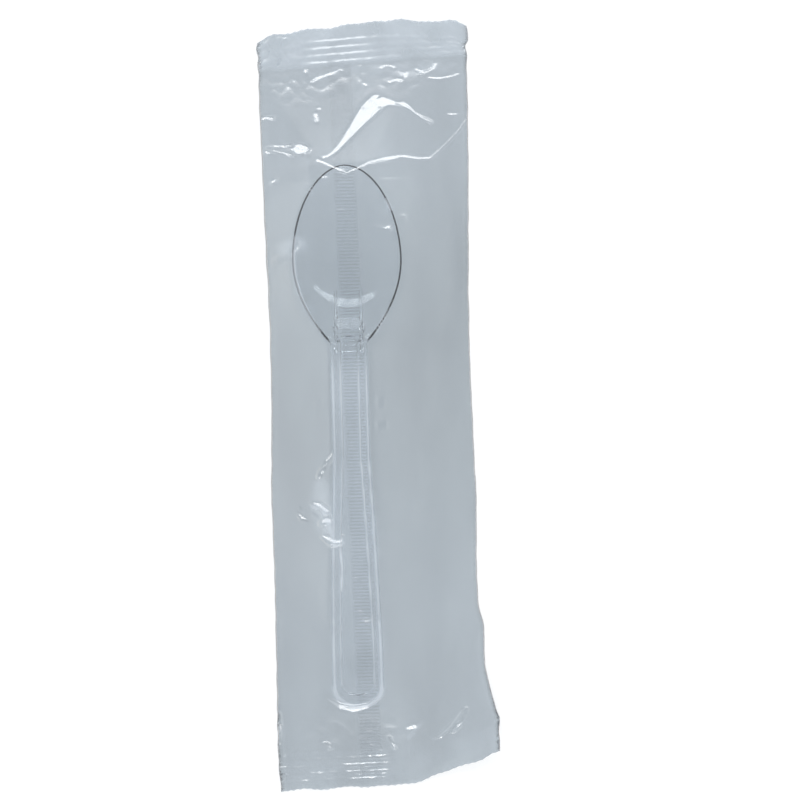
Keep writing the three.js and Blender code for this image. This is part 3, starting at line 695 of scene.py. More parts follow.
def row_shift(across, along):
    """How far a row lies towards the head, because the seals slant and a corner is pulled up."""
    head = smooth(-along, -LEAN_REACH, HEAD_ROOM)
    foot = smooth(along, SPOON_LENGTH - LEAN_REACH, FOOT_SEAL)
    lean = HEAD_CRIMP_SLOPE * head + FOOT_CRIMP_SLOPE * foot
    return lean * (across - SPOON_OFFSET) + CORNER_RISE * corner_share(across, along)


def crest_half(along):
    """Half the width of the crest that the film makes over the spoon, for one row."""
    nose = CREST_NOSE_SHARE * HALF_BOWL
    widest = CREST_WIDEST_SHARE * TUBE_WIDTH
    if along < 0:
        return mix(nose, widest, float(smooth(-along, 0, HEAD_ROOM)))
    if along > SPOON_LENGTH:
        return mix(HALF_GRIP + CREST_MARGIN, widest, float(smooth(along, SPOON_LENGTH, FOOT_SEAL)))
    own = half_width(min(along, SPOON_LENGTH - HANDLE_END_ROUND)) + CREST_MARGIN
    return max(own, mix(own, nose, 1 - float(smooth(along, 0, CREST_NOSE_LENGTH))))


def crest_height(along):
    over = SPOON_REST + FILM_OVER_SPOON
    if along < 0:
        away = min(-along / HEAD_ROOM, 1)
        return mix(SEAL_GAP, top_height(0) + over, (1 - away) ** HEAD_FALL)
    if along > SPOON_LENGTH:
        away = min((along - SPOON_LENGTH) / FOOT_ROOM, 1)
        return mix(SEAL_GAP, top_height(SPOON_LENGTH) + over, (1 - away) ** FOOT_FALL)
    return top_height(along) + over


def taut_rise(along):
    """How far the film, taut from near the tip to the crown, runs above the spoon's own top."""
    if along < TAUT_START or along > CROWN_FROM_TIP:
        return 0.0
    share = (along - TAUT_START) / (CROWN_FROM_TIP - TAUT_START)
    return max(mix(top_height(TAUT_START), CROWN_HEIGHT, share) - top_height(along), 0)


def waves(across, along, size, seed):
    """Soft random waves, between about -1 and 1, over arrays of places."""
    flat = np.stack([across.ravel(), along.ravel()], axis=1) / size
    values = [noise.noise(Vector((a, b, seed))) for a, b in flat]
    return np.array(values).reshape(across.shape)


def film_rows():
    """Distances from the tip of the film's rows."""
    stretches = []
    start = HEAD_SEAL - HEAD_SEAL_LENGTH
    for end, count in FILM_ROWS:
        stretches.append(np.linspace(start, end, count, endpoint=False))
        start = end
    stretches.append(np.linspace(start, FOOT_SEAL + FOOT_SEAL_LENGTH, FOOT_BAND_ROWS))
    return np.concatenate(stretches)


def film_places(cells):
    """Places of one side of the film: across, along, and y in millimetres from the spoon's tip."""
    rows = film_rows()
    share = np.linspace(0, 1, cells + 1)
    left = -sleeve_half(rows)
    right = right_edge(rows)
    across = left[:, None] + (right - left)[:, None] * share[None, :]
    along = np.repeat(rows[:, None], cells + 1, axis=1)
    tooth = 2 * np.abs((across / TOOTH_PITCH) % 1 - 0.5)
    head_ramp = smooth(-along, -HEAD_SEAL + CRIMP_LENGTH, -HEAD_SEAL + HEAD_SEAL_LENGTH)
    foot_ramp = smooth(along, FOOT_SEAL + CRIMP_LENGTH, FOOT_SEAL + FOOT_SEAL_LENGTH)
    cut_lean = (HEAD_CUT_SLOPE - HEAD_CRIMP_SLOPE) * (across - SPOON_OFFSET)
    y = -along + row_shift(across, along)
    ragged = CUT_WAVE * waves(across, along * 0, size=6.5, seed=5.2)
    y += head_ramp * (cut_lean + TOOTH_DEPTH * tooth + ragged) - foot_ramp * (TOOTH_DEPTH * tooth + ragged)
    worn_off = RIGHT_DROP * smooth(across, *RIGHT_DROP_RANGE)
    worn_off += CORNER_DROP * smooth(np.abs(across), *CORNER_DROP_RANGE)
    y -= worn_off * smooth(-along, -HEAD_SEAL, -HEAD_SEAL + HEAD_SEAL_LENGTH)
    near_edge = smooth(np.abs(share - 0.5), EDGE_BAND_SHARE, 0.5)[None, :]
    worn = EDGE_WORN + smooth(-along, *HEAD_WORN_RANGE)
    worn = worn + FOOT_WORN * smooth(along, FOOT_SEAL - FOOT_WORN_LENGTH, FOOT_SEAL)
    uneven = waves(across * 0 + share[None, :] * EDGE_SPREAD, along, size=5.0, seed=8.4)
    return across + EDGE_WAVE * near_edge * worn * uneven, along, y


def blurred(heights, passes):
    """Evens out a grid of heights, each half from its four neighbours, and keeps the grid's outer edge."""
    for _ in range(passes):
        inner = heights[1:-1, 1:-1]
        around = heights[:-2, 1:-1] + heights[2:, 1:-1] + heights[1:-1, :-2] + heights[1:-1, 2:]
        heights[1:-1, 1:-1] = 0.5 * inner + 0.125 * around
    return heights


def within_seals(along, fade):
    """1 between the seals, and eased to 0 at both of them."""
    from_head = smooth(along, HEAD_SEAL, HEAD_SEAL + fade)
    return np.minimum(from_head, smooth(-along, -FOOT_SEAL, -FOOT_SEAL + fade))


def drape(across, along):
    """The front film without its creases: taut flanks, and a crest as wide as the spoon."""
    rows = along[:, 0]
    crest = np.array([crest_half(row) for row in rows])[:, None]
    level = np.array([crest_height(row) for row in rows])[:, None]
    rise = np.array([taut_rise(row) for row in rows])[:, None]
    left = across[:, :1]
    right = across[:, -1:]
    from_left = np.clip((across - left) / (SPOON_OFFSET - crest - left), 0, 1)
    from_right = np.clip((right - across) / (right - SPOON_OFFSET - crest), 0, 1)
    share = np.minimum(from_left, from_right)
    ridge = np.clip(1 - np.abs(across - SPOON_OFFSET) / crest, 0, 1)
    edge = mix(SEAL_GAP, FOLD_HEIGHT, within_seals(along, EDGE_RISE_LENGTH))
    return blurred(mix(edge, level, share ** FLANK_SAG) + ridge * rise, DRAPE_SMOOTHING), share


# Bright folds of the front film. Each point of a path is a pixel of the photograph, across and down, and the
# fold's half width there, in pixels.
GLINTS = {
    "swoosh": (
        (320, 161, 0.8), (330, 158, 1.2), (338, 151, 2.6), (345, 142, 3.6), (352, 133, 5), (360, 122, 7),
        (368, 112, 9), (376, 104, 9), (388, 103, 4), (400, 106, 1.6),
    ),
    "swoosh_tail": (
        (398, 104, 1.4), (404, 105, 3), (409, 108, 2), (415, 114, 1), (422, 119, 0.9), (431, 123, 0.8),
    ),
    "left_of_tip": ((319, 162, 0.9), (330, 168, 1.1), (340, 173, 1.1), (348, 175, 1)),
    "right_of_tip": (
        (348, 175, 1), (358, 171, 1.1), (368, 166, 1.8), (380, 163, 2.4), (392, 160, 1.9), (402, 158, 1.2),
        (420, 160, 0.9), (430, 159, 0.9),
    ),
    "to_right_edge": ((466, 119, 0.9), (458, 131, 1.3), (448, 142, 1.3), (438, 152, 1.3), (430, 159, 0.9)),
    "leaf": ((306, 151, 4), (300, 151, 6), (294, 151, 4.6)),
    "leaf_upper_line": ((292, 147, 1.4), (280, 147, 1), (268, 149, 0.9)),
    "leaf_lower_line": ((292, 156, 1.2), (280, 153, 1), (268, 150, 0.9)),
    "leaf_stalk": ((267, 153, 2), (269, 153, 2)),
    "left_edge_high": ((261, 122, 1), (265, 118, 1.3), (273, 119, 1.3)),
    "tick_above_leaf": ((316, 115, 0.8), (317, 123, 1.4)),
    "speck_above_leaf": ((319, 110, 1.4), (320, 110, 1.4)),
    "right_edge_high": ((449, 114, 1), (455, 115, 1)),
    "head_left_short": ((278, 66, 1), (284, 66, 1)),
    "head_left_long": ((278, 69, 0.8), (290, 69, 0.8), (297, 66, 0.9)),
    "head_left_curl": ((305, 62, 0.9), (307, 67, 1.2), (306, 73, 0.9)),
    "head_stroke": ((313, 83, 1), (320, 78, 1.6), (330, 74, 1.6), (337, 70, 1)),
    "head_stroke_end": ((340, 70, 1.3), (342, 70, 1.3)),
    "under_head_seal": ((308, 61, 0.8), (320, 63, 0.9), (335, 63, 0.9), (345, 61, 0.8)),
    "head_tick_left": ((347, 64, 0.9), (348, 61, 0.9)),
    "head_tick_middle": ((360, 66, 0.9), (362, 62, 0.9)),
    "head_arch": ((381, 68, 0.8), (388, 64, 0.9), (394, 68, 0.7)),
    "head_hook": ((389, 83, 0.9), (396, 80, 1.2), (401, 80, 0.9)),
    "head_hook_top": ((405, 78, 0.8), (407, 73, 0.9)),
    "head_ring": (
        (425, 58, 0.7), (431, 58, 0.9), (435, 63, 0.9), (434, 69, 0.9), (428, 72, 1), (421, 75, 0.9),
    ),
    "head_ring_left": ((416, 69, 0.8), (423, 73, 0.9)),
    "head_right_long": ((429, 78, 0.8), (440, 79, 0.9), (450, 77, 0.9), (458, 74, 0.8)),
    "head_speck": ((364, 84, 0.9), (366, 86, 0.9)),
    "in_seal_left": ((291, 38, 1), (297, 36, 1), (303, 35, 0.9)),
    "in_seal_middle": ((320, 34, 1), (328, 35, 1)),
    "left_flank_tick": ((276, 180, 0.8), (272, 184, 0.8)),
    "left_fork_upper": ((268, 240, 0.9), (285, 237, 0.9), (300, 246, 1)),
    "left_fork_lower": ((300, 246, 1), (290, 257, 1), (274, 262, 1)),
    "bowl_patch": ((376, 224, 2), (383, 229, 3.6), (388, 231, 3)),
    "bowl_patch_line": ((378, 222, 0.7), (396, 220, 0.7), (404, 219, 0.6)),
    "bowl_left_speck": ((337, 210, 3), (342, 211, 3)),
    "bowl_right_speck": ((359, 207, 1), (364, 210, 1.4)),
    "bowl_tip_speck": ((323, 180, 1.2), (328, 179, 1.2)),
    "above_crumple": ((336, 454, 1.6), (328, 462, 1.1), (321, 471, 1.1), (319, 476, 0.8)),
    "crumple_top": ((312, 501, 1.2), (320, 503, 3.4), (328, 508, 3)),
    "crumple_line": ((314, 512, 1), (320, 515, 1.3)),
    "crumple_middle": ((322, 522, 2.4), (330, 517, 3.6), (335, 519, 2)),
    "crumple_foot": ((324, 535, 2), (332, 538, 5), (340, 537, 5)),
    "crumple_left": ((299, 512, 1.6), (303, 517, 2.8), (307, 518, 2)),
    "crumple_left_speck": ((301, 507, 1.2), (302, 507, 1.2)),
    "handle_left_tick": ((318, 404, 0.9), (322, 405, 0.9)),
    "handle_right_tick": ((379, 402, 0.9), (383, 402, 0.9)),
    "handle_right_low_tick": ((379, 424, 0.9), (386, 423, 0.9)),
    "panel_speck": ((355, 578, 1.3), (356, 578, 1.3)),
    "panel_loop_top": ((360, 610, 0.8), (368, 609, 0.8), (375, 609, 0.8)),
    "panel_loop": ((360, 611, 1), (366, 616, 1.2), (374, 613, 1)),
    "corner_fold": ((424, 743, 0.9), (438, 737, 1), (450, 726, 1.4), (462, 709, 1)),
    "corner_fold_right": ((466, 708, 1), (461, 722, 1.2), (450, 736, 0.9)),
    "corner_tick": ((471, 738, 0.9), (480, 730, 0.9)),
    "corner_low_tick": ((484, 749, 0.9), (494, 741, 0.9)),
    "corner_seal_tick": ((460, 749, 0.8), (472, 745, 0.8)),
    "foot_right_tick": ((389, 738, 0.9), (395, 748, 0.9)),
    "foot_middle_tick": ((371, 747, 1.2), (382, 752, 1)),
    "foot_left_tick": ((326, 744, 0.8), (331, 748, 0.8)),
    "foot_left_edge": ((279, 714, 0.9), (281, 728, 0.9), (278, 742, 0.9)),
}

# Bright folds that face the low window instead
LOW_GLINTS = {
    "handle_end": ((331, 699, 1.6), (340, 705, 3), (354, 708, 3.4), (368, 705, 3), (378, 698, 1.6)),
    "foot_triangle": ((408, 728, 2), (414, 726, 3)),
}

# Places with painted sheen, lighter film in place of the glints of crumples and folds there:
# how much, then a path in the same form
PAINTED_SHEEN = {
    "round_crumple": (0.3, ((322, 486, 9), (322, 500, 13), (326, 520, 13), (334, 540, 8))),
    "crumple": (0.7, ((314, 506, 3), (324, 506, 5), (330, 522, 5), (336, 542, 5))),
    "below_crumple": (0.95, ((341, 546, 2.2), (343, 566, 1.4), (342, 588, 1.8))),
    "under_head_seal": (0.3, ((330, 66, 16), (400, 68, 16), (450, 66, 12))),
    "head_left": (0.3, ((270, 60, 12), (300, 64, 14))),
    "foot_triangle": (0.3, ((409, 738, 3), (415, 728, 6), (424, 722, 1))),
    "left_fork": (0.3, ((300, 246, 10), (284, 250, 9))),
}

# How folds are pressed, in millimetres, slopes and shares
NARROWEST_FOLD = 0.4
FOLD_RELIEF = 0.9
FOLD_BORDER = (-0.05, 0.45)
LONG_FOLD_RANGE = (4, 12)
SHORT_FOLD_LEAN = 0.3
STEEP_PATH = 0.6
LEAST_RUN_ACROSS = 0.55
FOLD_SMOOTHING = 6
MIRROR_HALVINGS = 14

# Height at which the film is taken to lie where its mirroring slopes are worked out, in metres
FILM_LEVEL = 0.004


def pack_path(points):
    """A path of photograph pixels as places across and along y, and its half widths, in millimetres."""
    places = [photo_to_pack(point[:2]) for point in points]
    widths = np.maximum([point[2] * MM_PER_PIXEL for point in points], NARROWEST_FOLD)
    return np.array([(place[0], -place[1]) for place in places]), widths


def from_path(across, y, points):
    """How places lie to a path: the distance, the path's half width there, and how far past it along y."""
    path, widths = pack_path(points)
    lengths = np.linalg.norm(np.diff(path, axis=0), axis=1)
    nearest = np.full(across.shape, 1e9)
    breadth = np.ones(across.shape)
    beyond = np.zeros(across.shape)
    for step in range(len(lengths)):
        start = path[step]
        run = (path[step + 1] - start) / lengths[step]
        done = np.clip((across - start[0]) * run[0] + (y - start[1]) * run[1], 0, lengths[step])
        away = np.hypot(across - start[0] - done * run[0], y - start[1] - done * run[1])
        width = mix(widths[step], widths[step + 1], done / lengths[step])
        nearer = away / width < nearest / breadth
        run_across = math.copysign(max(abs(run[0]), LEAST_RUN_ACROSS), run[0])
        off = (y - start[1]) * run[0] - (across - start[0]) * run[1]
        nearest = np.where(nearer, away, nearest)
        breadth = np.where(nearer, width, breadth)
        beyond = np.where(nearer, off / run_across, beyond)
    return nearest, breadth, beyond


def mirror_slopes(lean, across, y, camera, lamp):
    """The slope along the pack that mirrors a lamp to the camera, where the film has a given slope across.

    The lamp is a strip that runs across the pack, so the point of it that answers to the slope across is
    found first, by halving.
    """
    x, model_y = film_xy(across, y)
    places = np.stack([x, model_y, np.full(y.shape, FILM_LEVEL)], axis=-1)
    to_camera = np.array(camera.location) - places
    to_camera /= np.linalg.norm(to_camera, axis=-1, keepdims=True)
    lamp_y = np.full(y.shape, lamp.location.y)
    lamp_z = np.full(y.shape, lamp.location.z)
    left = np.full(y.shape, lamp.location.x - lamp.data.size / 2)
    right = np.full(y.shape, lamp.location.x + lamp.data.size / 2)
    for _ in range(MIRROR_HALVINGS):
        middle = (left + right) / 2
        to_lamp = np.stack([middle, lamp_y, lamp_z], axis=-1) - places
        half = to_camera + to_lamp / np.linalg.norm(to_lamp, axis=-1, keepdims=True)
        beyond = half[..., 0] / half[..., 2] > -lean
        right = np.where(beyond, middle, right)
        left = np.where(beyond, left, middle)
    return -half[..., 1] / half[..., 2]


def summed_along(slopes, y):
    """Heights that have the given slopes, from the first row on."""
    heights = np.zeros_like(y)
    heights[1:] = np.cumsum((slopes[1:] + slopes[:-1]) / 2 * np.diff(y, axis=0), axis=0)
    return heights


def press_glints(heights, across, y, paths, camera, lamp):
    """Presses each bright fold to the slope that mirrors the lamp.

    A long fold tilts about its path. A short or steep one is a flatter facet about its middle.
    """
    form = blurred(heights.copy(), FOLD_SMOOTHING)
    rise = np.gradient(form, axis=0) / np.gradient(y, axis=0)
    lean = (np.gradient(form, axis=1) - rise * np.gradient(y, axis=1)) / np.gradient(across, axis=1)
    tilt = mirror_slopes(lean, across, y, camera, lamp) - rise
    fall = summed_along(mirror_slopes(lean * SHORT_FOLD_LEAN, across, y, camera, lamp), y)
    columns = np.arange(y.shape[1])
    for points in paths.values():
        away, breadth, beyond = from_path(across, y, points)
        path, _ = pack_path(points)
        reach, length = np.ptp(path, axis=0)
        middle = (path.min(axis=0) + path.max(axis=0)) / 2
        start = np.argmin(np.abs(y - middle[1]), axis=0)
        level = form[start, columns]
        beside = np.argmin(np.abs(across[start, columns] - middle[0]))
        pressed = mix(level[beside], level, SHORT_FOLD_LEAN) + fall - fall[start, columns]
        tilted = form + tilt * beyond + np.abs(tilt) * NARROWEST_FOLD
        long_share = smooth(reach, *LONG_FOLD_RANGE) if reach > STEEP_PATH * length else 0
        facet = mix(pressed, tilted, long_share)
        facet = form + np.clip(facet - form, -FOLD_RELIEF, FOLD_RELIEF)
        heights = mix(heights, facet, 1 - smooth(away - breadth, *FOLD_BORDER))
    return heights


# Small crumples, seals and back film

CRUMPLE_HEIGHT = 0.3
CRUMPLE_SINK = 0.2
SWELL_HEIGHT = 0.1
HEAD_CRUMPLE_RANGE = (16, 26)
FOOT_CRUMPLE_RANGE = (FOOT_SEAL - 16, FOOT_SEAL - 4)

# Where the crimps show across the seals, and how strongly where they are faint
HEAD_CRIMPS_START = (-20, -13)
HEAD_CRIMPS_FADE = (-2, 9)
HEAD_CRIMPS_FAINT = 0.25
FOOT_CRIMPS_START = (-14, -8)
FOOT_CRIMPS_FAINT = 0.6
FOOT_CRIMPS_END = (-3.5, -1.5)
FOOT_CRIMP_SHARE = 1.2

SEAL_WRINKLE = 0.44
FINE_WRINKLE_SHARE = 0.5
LEAST_WRINKLE = 0.55
BARE_CORNER_RANGE = (-24, -12)
BARE_HEAD_RANGE = (0, 40)

FIN_LIFT_FADE = 4


def crumples(across, along):
    """Small random folds beside both end seals, and soft waves everywhere."""
    near_head = smooth(-along, *HEAD_CRUMPLE_RANGE)
    near_foot = smooth(along, *FOOT_CRUMPLE_RANGE)
    fine = np.abs(waves(across, along, size=3.4, seed=7.7)) - CRUMPLE_SINK
    broad = waves(across, along, size=13.0, seed=3.1)
    return CRUMPLE_HEIGHT * np.maximum(near_head, near_foot) * fine + SWELL_HEIGHT * broad


def fin_centre(along):
    return FIN_CENTRE + FIN_LEAN * (along - SPOON_LENGTH / 2)


def back_heights(across, along):
    """The back film lies flat, and rises over the fin that is folded under it."""
    away = np.abs(across - fin_centre(along)) - FIN_WIDTH / 2 - FIN_MARGIN
    return (SEAL_GAP + FIN_GAP) * (1 - smooth(away, 0, FIN_RAMP)) * within_seals(along, FIN_LIFT_FADE)


def crimp_wave(into):
    """Height of the crimps of an end seal, from the distance past its inner edge."""
    inside = (into > 0) & (into < CRIMP_LENGTH)
    return np.where(inside, 0.5 - 0.5 * np.cos(2 * np.pi * into / CRIMP_PITCH), 0)


def seal_heights(across, along):
    """Crimps of both end seals, fainter where the film is only crumpled, and small wrinkles."""
    head = crimp_wave(HEAD_SEAL - along) * smooth(across, *HEAD_CRIMPS_START)
    head = head * mix(1, HEAD_CRIMPS_FAINT, smooth(across, *HEAD_CRIMPS_FADE))
    foot = crimp_wave(along - FOOT_SEAL) * mix(FOOT_CRIMPS_FAINT, 1, smooth(across, *FOOT_CRIMPS_START))
    foot = foot * smooth(-across, *FOOT_CRIMPS_END)
    bare = 1 - smooth(across, *BARE_CORNER_RANGE) * smooth(-along, *BARE_HEAD_RANGE)
    wrinkle = np.abs(waves(across, along, size=3.6, seed=1.3))
    wrinkle += FINE_WRINKLE_SHARE * np.abs(waves(across, along, size=1.7, seed=9.3))
    crimps = CRIMP_HEIGHT * (head + FOOT_CRIMP_SHARE * foot)
    return crimps + SEAL_WRINKLE * wrinkle * mix(LEAST_WRINKLE, 1, bare)


def vent_heights(across, along):
    """A pleat left open through the foot seal, where the front film stands off the back."""
    from_middle = np.clip(np.abs(across - VENT_OFFSET) / (VENT_WIDTH / 2), 0, 1)
    arch = 0.5 + 0.5 * np.cos(np.pi * from_middle)
    return VENT_HEIGHT * arch * smooth(along, FOOT_SEAL - VENT_LEAD, FOOT_SEAL)


# Whitened film and painted light: highlight lines painted along the spoon's rims, and the shares of the rest

# Painted highlight lines on the handle: the outer one in shares of its half width,
# the one by its panel in millimetres
OUTER_LINE = 0.9
OUTER_LINE_BREADTH = 0.08
END_LINE_BREADTH = 0.18
SHARP_SHARE = 0.3
END_LINE_ROOM = (9, 3)
INNER_LINE_STRENGTH = 0.9
INNER_LINE_BREADTH = (0.1, 0.5)
INNER_LINE_ROOM = (4, 1)
OVER_HANDLE = 0.3
HANDLE_OUTLINE = (0.96, 1.04)
LINES_BEFORE_CROWN = 10

# The light line on the bowl's rim, in shares of its half width, which shows only in places
BOWL_LINE = 0.97
BOWL_LINE_BREADTH = (0.01, 0.05)
LINE_SHOWING_RANGE = (-0.1, 0.3)
BOWL_LINE_FADE = 4
TIP_LINE_FADE = 2
LEAST_BOWL_HALF = 0.5

ENDS_WORKED = 0.55
ENDS_UNEVEN = 0.35
FOOT_END_SHARE = 0.3
HEAD_WORKED = 0.2
HEAD_WORKED_RANGE = (-40, 5)
FOOT_WORKED = 0.15
FOOT_WORKED_RANGE = (70, 140)
# Strength of the painted highlight lines on the rims, its even part and its uneven part
RIM_LINES_STRENGTH = 0.95
RIM_LINES_EVEN = 0.75
RIM_LINES_UNEVEN = 0.35
# Reach and unevenness of the painted sheen patches
SHEEN_REACH = 1.5
SHEEN_UNEVEN = 0.5
# Share of the whitening and painted sheen that the back film gets
BACK_WHITENING_AND_SHEEN = 0.6


def painted_rim_lines(across, y):
    """Painted highlight lines on the handle's rims, a light line in places on the bowl's rim, and lighter
    film over the handle.
    """
    half = np.vectorize(full_half_width)(-y)
    offset = np.abs(across - SPOON_OFFSET)
    past = np.clip((-y - SPOON_LENGTH) / HANDLE_END_ROUND + 1, 0, None)
    outline = np.hypot(offset / half, past)
    at_end = smooth(-y, SPOON_LENGTH - END_LINE_ROOM[0], SPOON_LENGTH - END_LINE_ROOM[1])
    breadth = mix(OUTER_LINE_BREADTH, END_LINE_BREADTH, at_end)
    outer = 1 - smooth(np.abs(outline - OUTER_LINE), SHARP_SHARE * breadth, breadth)
    inner = 1 - smooth(np.abs(offset - half + RIM_BAND), *INNER_LINE_BREADTH)
    panel_end = SPOON_LENGTH - END_BAND
    inner *= 1 - smooth(-y, panel_end - INNER_LINE_ROOM[0], panel_end - INNER_LINE_ROOM[1])
    over_handle = OVER_HANDLE * (1 - smooth(outline, *HANDLE_OUTLINE))
    lines = np.maximum(np.maximum(outer, INNER_LINE_STRENGTH * inner), over_handle)
    handle = lines * smooth(-y, CROWN_FROM_TIP - LINES_BEFORE_CROWN, CROWN_FROM_TIP)

    bowl_half = np.vectorize(half_width)(np.clip(-y, 0, SPOON_LENGTH))
    bowl_half = np.maximum(bowl_half, LEAST_BOWL_HALF)
    rim = 1 - smooth(np.abs(offset / bowl_half - BOWL_LINE), *BOWL_LINE_BREADTH)
    line_showing = smooth(waves(across, y, size=7.0, seed=3.7), *LINE_SHOWING_RANGE)
    line_showing = line_showing * smooth(y, -CROWN_FROM_TIP, BOWL_LINE_FADE - CROWN_FROM_TIP)
    return np.maximum(handle, rim * line_showing * smooth(-y, 0, TIP_LINE_FADE))


def whitening_and_sheen_share(across, along, y):
    """Whitening of the crimped ends and towards them, with painted highlight lines on the rims and painted
    sheen.
    """
    head_end = smooth(-along, -HEAD_SEAL - 2, -HEAD_SEAL + 2)
    ends = np.maximum(head_end, smooth(along, FOOT_SEAL - 1, FOOT_SEAL + 3))
    whitening_and_sheen = ends * (ENDS_WORKED + ENDS_UNEVEN * waves(across, along, size=7.0, seed=2.2))
    whitening_and_sheen = whitening_and_sheen * mix(1, FOOT_END_SHARE, smooth(along, 0, 100))
    whitening_and_sheen = np.maximum(whitening_and_sheen, HEAD_WORKED * smooth(-along, *HEAD_WORKED_RANGE))
    whitening_and_sheen = np.maximum(whitening_and_sheen, FOOT_WORKED * smooth(along, *FOOT_WORKED_RANGE))
    patchy = RIM_LINES_EVEN + RIM_LINES_UNEVEN * waves(across, along, size=9.0, seed=4.8)
    # Painted highlight lines along the rims
    whitening_and_sheen = np.maximum(whitening_and_sheen, RIM_LINES_STRENGTH * patchy * painted_rim_lines(across, y))
    uneven = 1 + SHEEN_UNEVEN * waves(across, along, size=3.0, seed=6.1)
    # Patches of painted sheen, lighter film in place of glints
    for share, points in PAINTED_SHEEN.values():
        away, breadth, _ = from_path(across, y, points)
        soft = (1 - smooth(away / breadth, 0, SHEEN_REACH)) * share * uneven
        whitening_and_sheen = np.maximum(whitening_and_sheen, soft)
    return np.clip(whitening_and_sheen, 0, 1)


# Film pieces

LOOSE_SHARE = 0.2
LOOSE_FADE = 3
ABOVE_PACK = 0.05


def spoon_top_under(xs, ys, spoon):
    """Height in millimetres of the spoon's top face under each place, or minus one where there is none."""
    tree = BVHTree.FromObject(spoon, bpy.context.evaluated_depsgraph_get())
    down = Vector((0, 0, -1))
    found = np.full(xs.shape, -1.0)
    for index in np.ndindex(xs.shape):
        hit = tree.ray_cast(Vector((xs[index], ys[index], ABOVE_PACK)), down)[0]
        if hit is not None:
            found[index] = hit.z / MM
    return found


def in_seals(along):
    return (along <= HEAD_SEAL) | (along >= FOOT_SEAL)


def front_heights(across, along, y, spoon, camera, key, low):
    """The front film: draped, crumpled, pressed into its bright folds, clear of the spoon and sealed."""
    heights, share = drape(across, along)
    loose = smooth(share, 0, LOOSE_SHARE) * within_seals(along, LOOSE_FADE)
    lift = CORNER_LIFT * corner_share(across, along)
    pleat = vent_heights(across, along)
    heights += loose * crumples(across, along) + lift
    heights = press_glints(heights, across, y, GLINTS, camera, key)
    heights = press_glints(heights, across, y, LOW_GLINTS, camera, low)
    heights = np.maximum(heights, pleat + lift)
    under = spoon_top_under(*film_xy(across, y), spoon)
    heights = np.where(under > 0, np.maximum(heights, under + FILM_OVER_SPOON), heights)
    sealed = SEAL_GAP + np.maximum(seal_heights(across, along), pleat)
    return np.where(in_seals(along), sealed + lift, np.maximum(heights, SEAL_GAP + lift))


def add_sheet(name, points, faces, whitened, material):
    """A piece of the film, with its whitening and painted sheen at each point."""
    mesh = bpy.data.meshes.new(name)
    mesh.from_pydata(points, [], faces)
    mesh.shade_smooth()
    # The whitening share also holds the painted highlights and painted sheen
    whitening_and_sheen = mesh.attributes.new("whitening_and_sheen", "FLOAT", "POINT").data
    whitening_and_sheen.foreach_set("value", np.array(whitened, dtype=np.float32))
    mesh.materials.append(material)
    sheet = bpy.data.objects.new(name, mesh)
    bpy.context.scene.collection.objects.link(sheet)
    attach(sheet, "root")
    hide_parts("film_wrapper")
    return sheet


def add_sleeve(material, spoon, camera, key, low):
    """The tube of film, row by row: its front from left to right, then its back from right to left."""
    across, along, y = film_places(FRONT_CELLS)
    front = front_heights(across, along, y, spoon, camera, key, low)
    xs, ys = film_xy(across, y)
    # Whitening of the crimped ends, with painted highlight lines and painted sheen
    front_whitening_and_sheen = whitening_and_sheen_share(across, along, y)

    across, along, y = film_places(BACK_CELLS)
    back = np.where(in_seals(along), seal_heights(across, along), back_heights(across, along))
    back += CORNER_LIFT * corner_share(across, along)
    back_xs, back_ys = film_xy(across, y)
    back_whitening_and_sheen = BACK_WHITENING_AND_SHEEN * whitening_and_sheen_share(across, along, y)

    points = []
    whitened = []
    rows = front.shape[0]
    for row in range(rows):
        for column in range(FRONT_CELLS + 1):
            height = front[row, column]
            nose = 0
            if column in (0, FRONT_CELLS):
                height = (height + back[row, BACK_CELLS if column else 0]) / 2
                nose = (FOLD_NOSE if column else -FOLD_NOSE) * MM
            points.append((xs[row, column] + nose, ys[row, column], height * MM))
        for column in range(BACK_CELLS - 1, 0, -1):
            points.append((back_xs[row, column], back_ys[row, column], back[row, column] * MM))
        whitened.extend(front_whitening_and_sheen[row])
        whitened.extend(back_whitening_and_sheen[row, BACK_CELLS - 1:0:-1])
    round_trip = FRONT_CELLS + BACK_CELLS
    faces = []
    for row in range(rows - 1):
        for side in range(round_trip):
            after = (side + 1) % round_trip
            here = row * round_trip
            below = here + round_trip
            faces.append((here + side, below + side, below + after, here + after))
    return add_sheet("film_sleeve", points, faces, whitened, material)


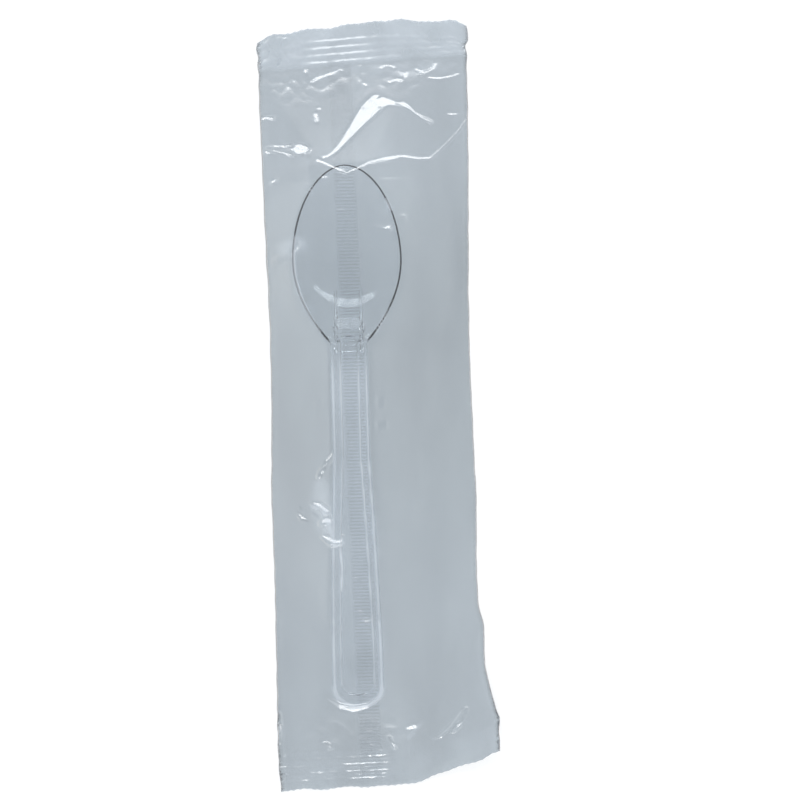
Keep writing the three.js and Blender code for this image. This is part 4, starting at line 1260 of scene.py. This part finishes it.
FIN_RIB_PITCH = 1.0
FIN_RIB_HEIGHT = 0.05
FIN_ROWS_PER_RIB = 6
FIN_CELLS = 8
FIN_LEVEL = 0.02
FIN_RIB_ENDS = 0.12
FIN_FAINT = 0.35
FIN_FAINT_RANGE = (-5, 10)


def add_fin(material):
    """The fin seal, folded flat under the back film, with fine ribs that are less whitened by the head."""
    start = HEAD_SEAL - CRIMP_LENGTH
    end = FOOT_SEAL + CRIMP_LENGTH
    rows = int((end - start) / FIN_RIB_PITCH * FIN_ROWS_PER_RIB)
    points = []
    whitened = []
    for row in range(rows + 1):
        along = mix(start, end, row / rows)
        rib = FIN_RIB_HEIGHT * (0.5 + 0.5 * math.cos(2 * math.pi * along / FIN_RIB_PITCH))
        shown = mix(FIN_FAINT, 1, float(smooth(along, *FIN_FAINT_RANGE)))
        for column in range(FIN_CELLS + 1):
            share = column / FIN_CELLS
            ribbed = rib * float(smooth(min(share, 1 - share), 0.0, FIN_RIB_ENDS))
            across = fin_centre(along) + FIN_WIDTH * (share - 0.5)
            points.append(model_point(across, along, FIN_LEVEL + ribbed))
            whitened.append(ribbed / FIN_RIB_HEIGHT * shown)
    faces = []
    for row in range(rows):
        for column in range(FIN_CELLS):
            first = row * (FIN_CELLS + 1) + column
            faces.append((first, first + FIN_CELLS + 1, first + FIN_CELLS + 2, first + 1))
    return add_sheet("back_fin", points, faces, whitened, material)


scene = bpy.context.scene
scene.view_settings.view_transform = "Standard"
camera = add_camera()
add_world()
add_floor()
key = add_lamp("key_window", lamp_direction(KEY_AZIMUTH, KEY_TILT), KEY_DISTANCE, KEY_SIZE, KEY_RADIANCE)
low = add_lamp("low_window", lamp_direction(LOW_AZIMUTH, LOW_TILT), LOW_DISTANCE, LOW_SIZE, LOW_RADIANCE)
variation = soft_variation_group()
spoon = add_spoon(clear_styrene(variation))
film = film_material(
    "clear_film", FILM_CLEAR, FILM_CLOUDY, haze_share=0.05, whitening_and_sheen_haze=0.45, faces=2.7, variation=variation)
thin_film = film_material(
    "fin_film", FIN_CLEAR, FIN_CLOUDY, haze_share=0.0, whitening_and_sheen_haze=0.22, faces=0.5, variation=variation)
sleeve = add_sleeve(film, spoon, camera, key, low)
fin = add_fin(thin_film)
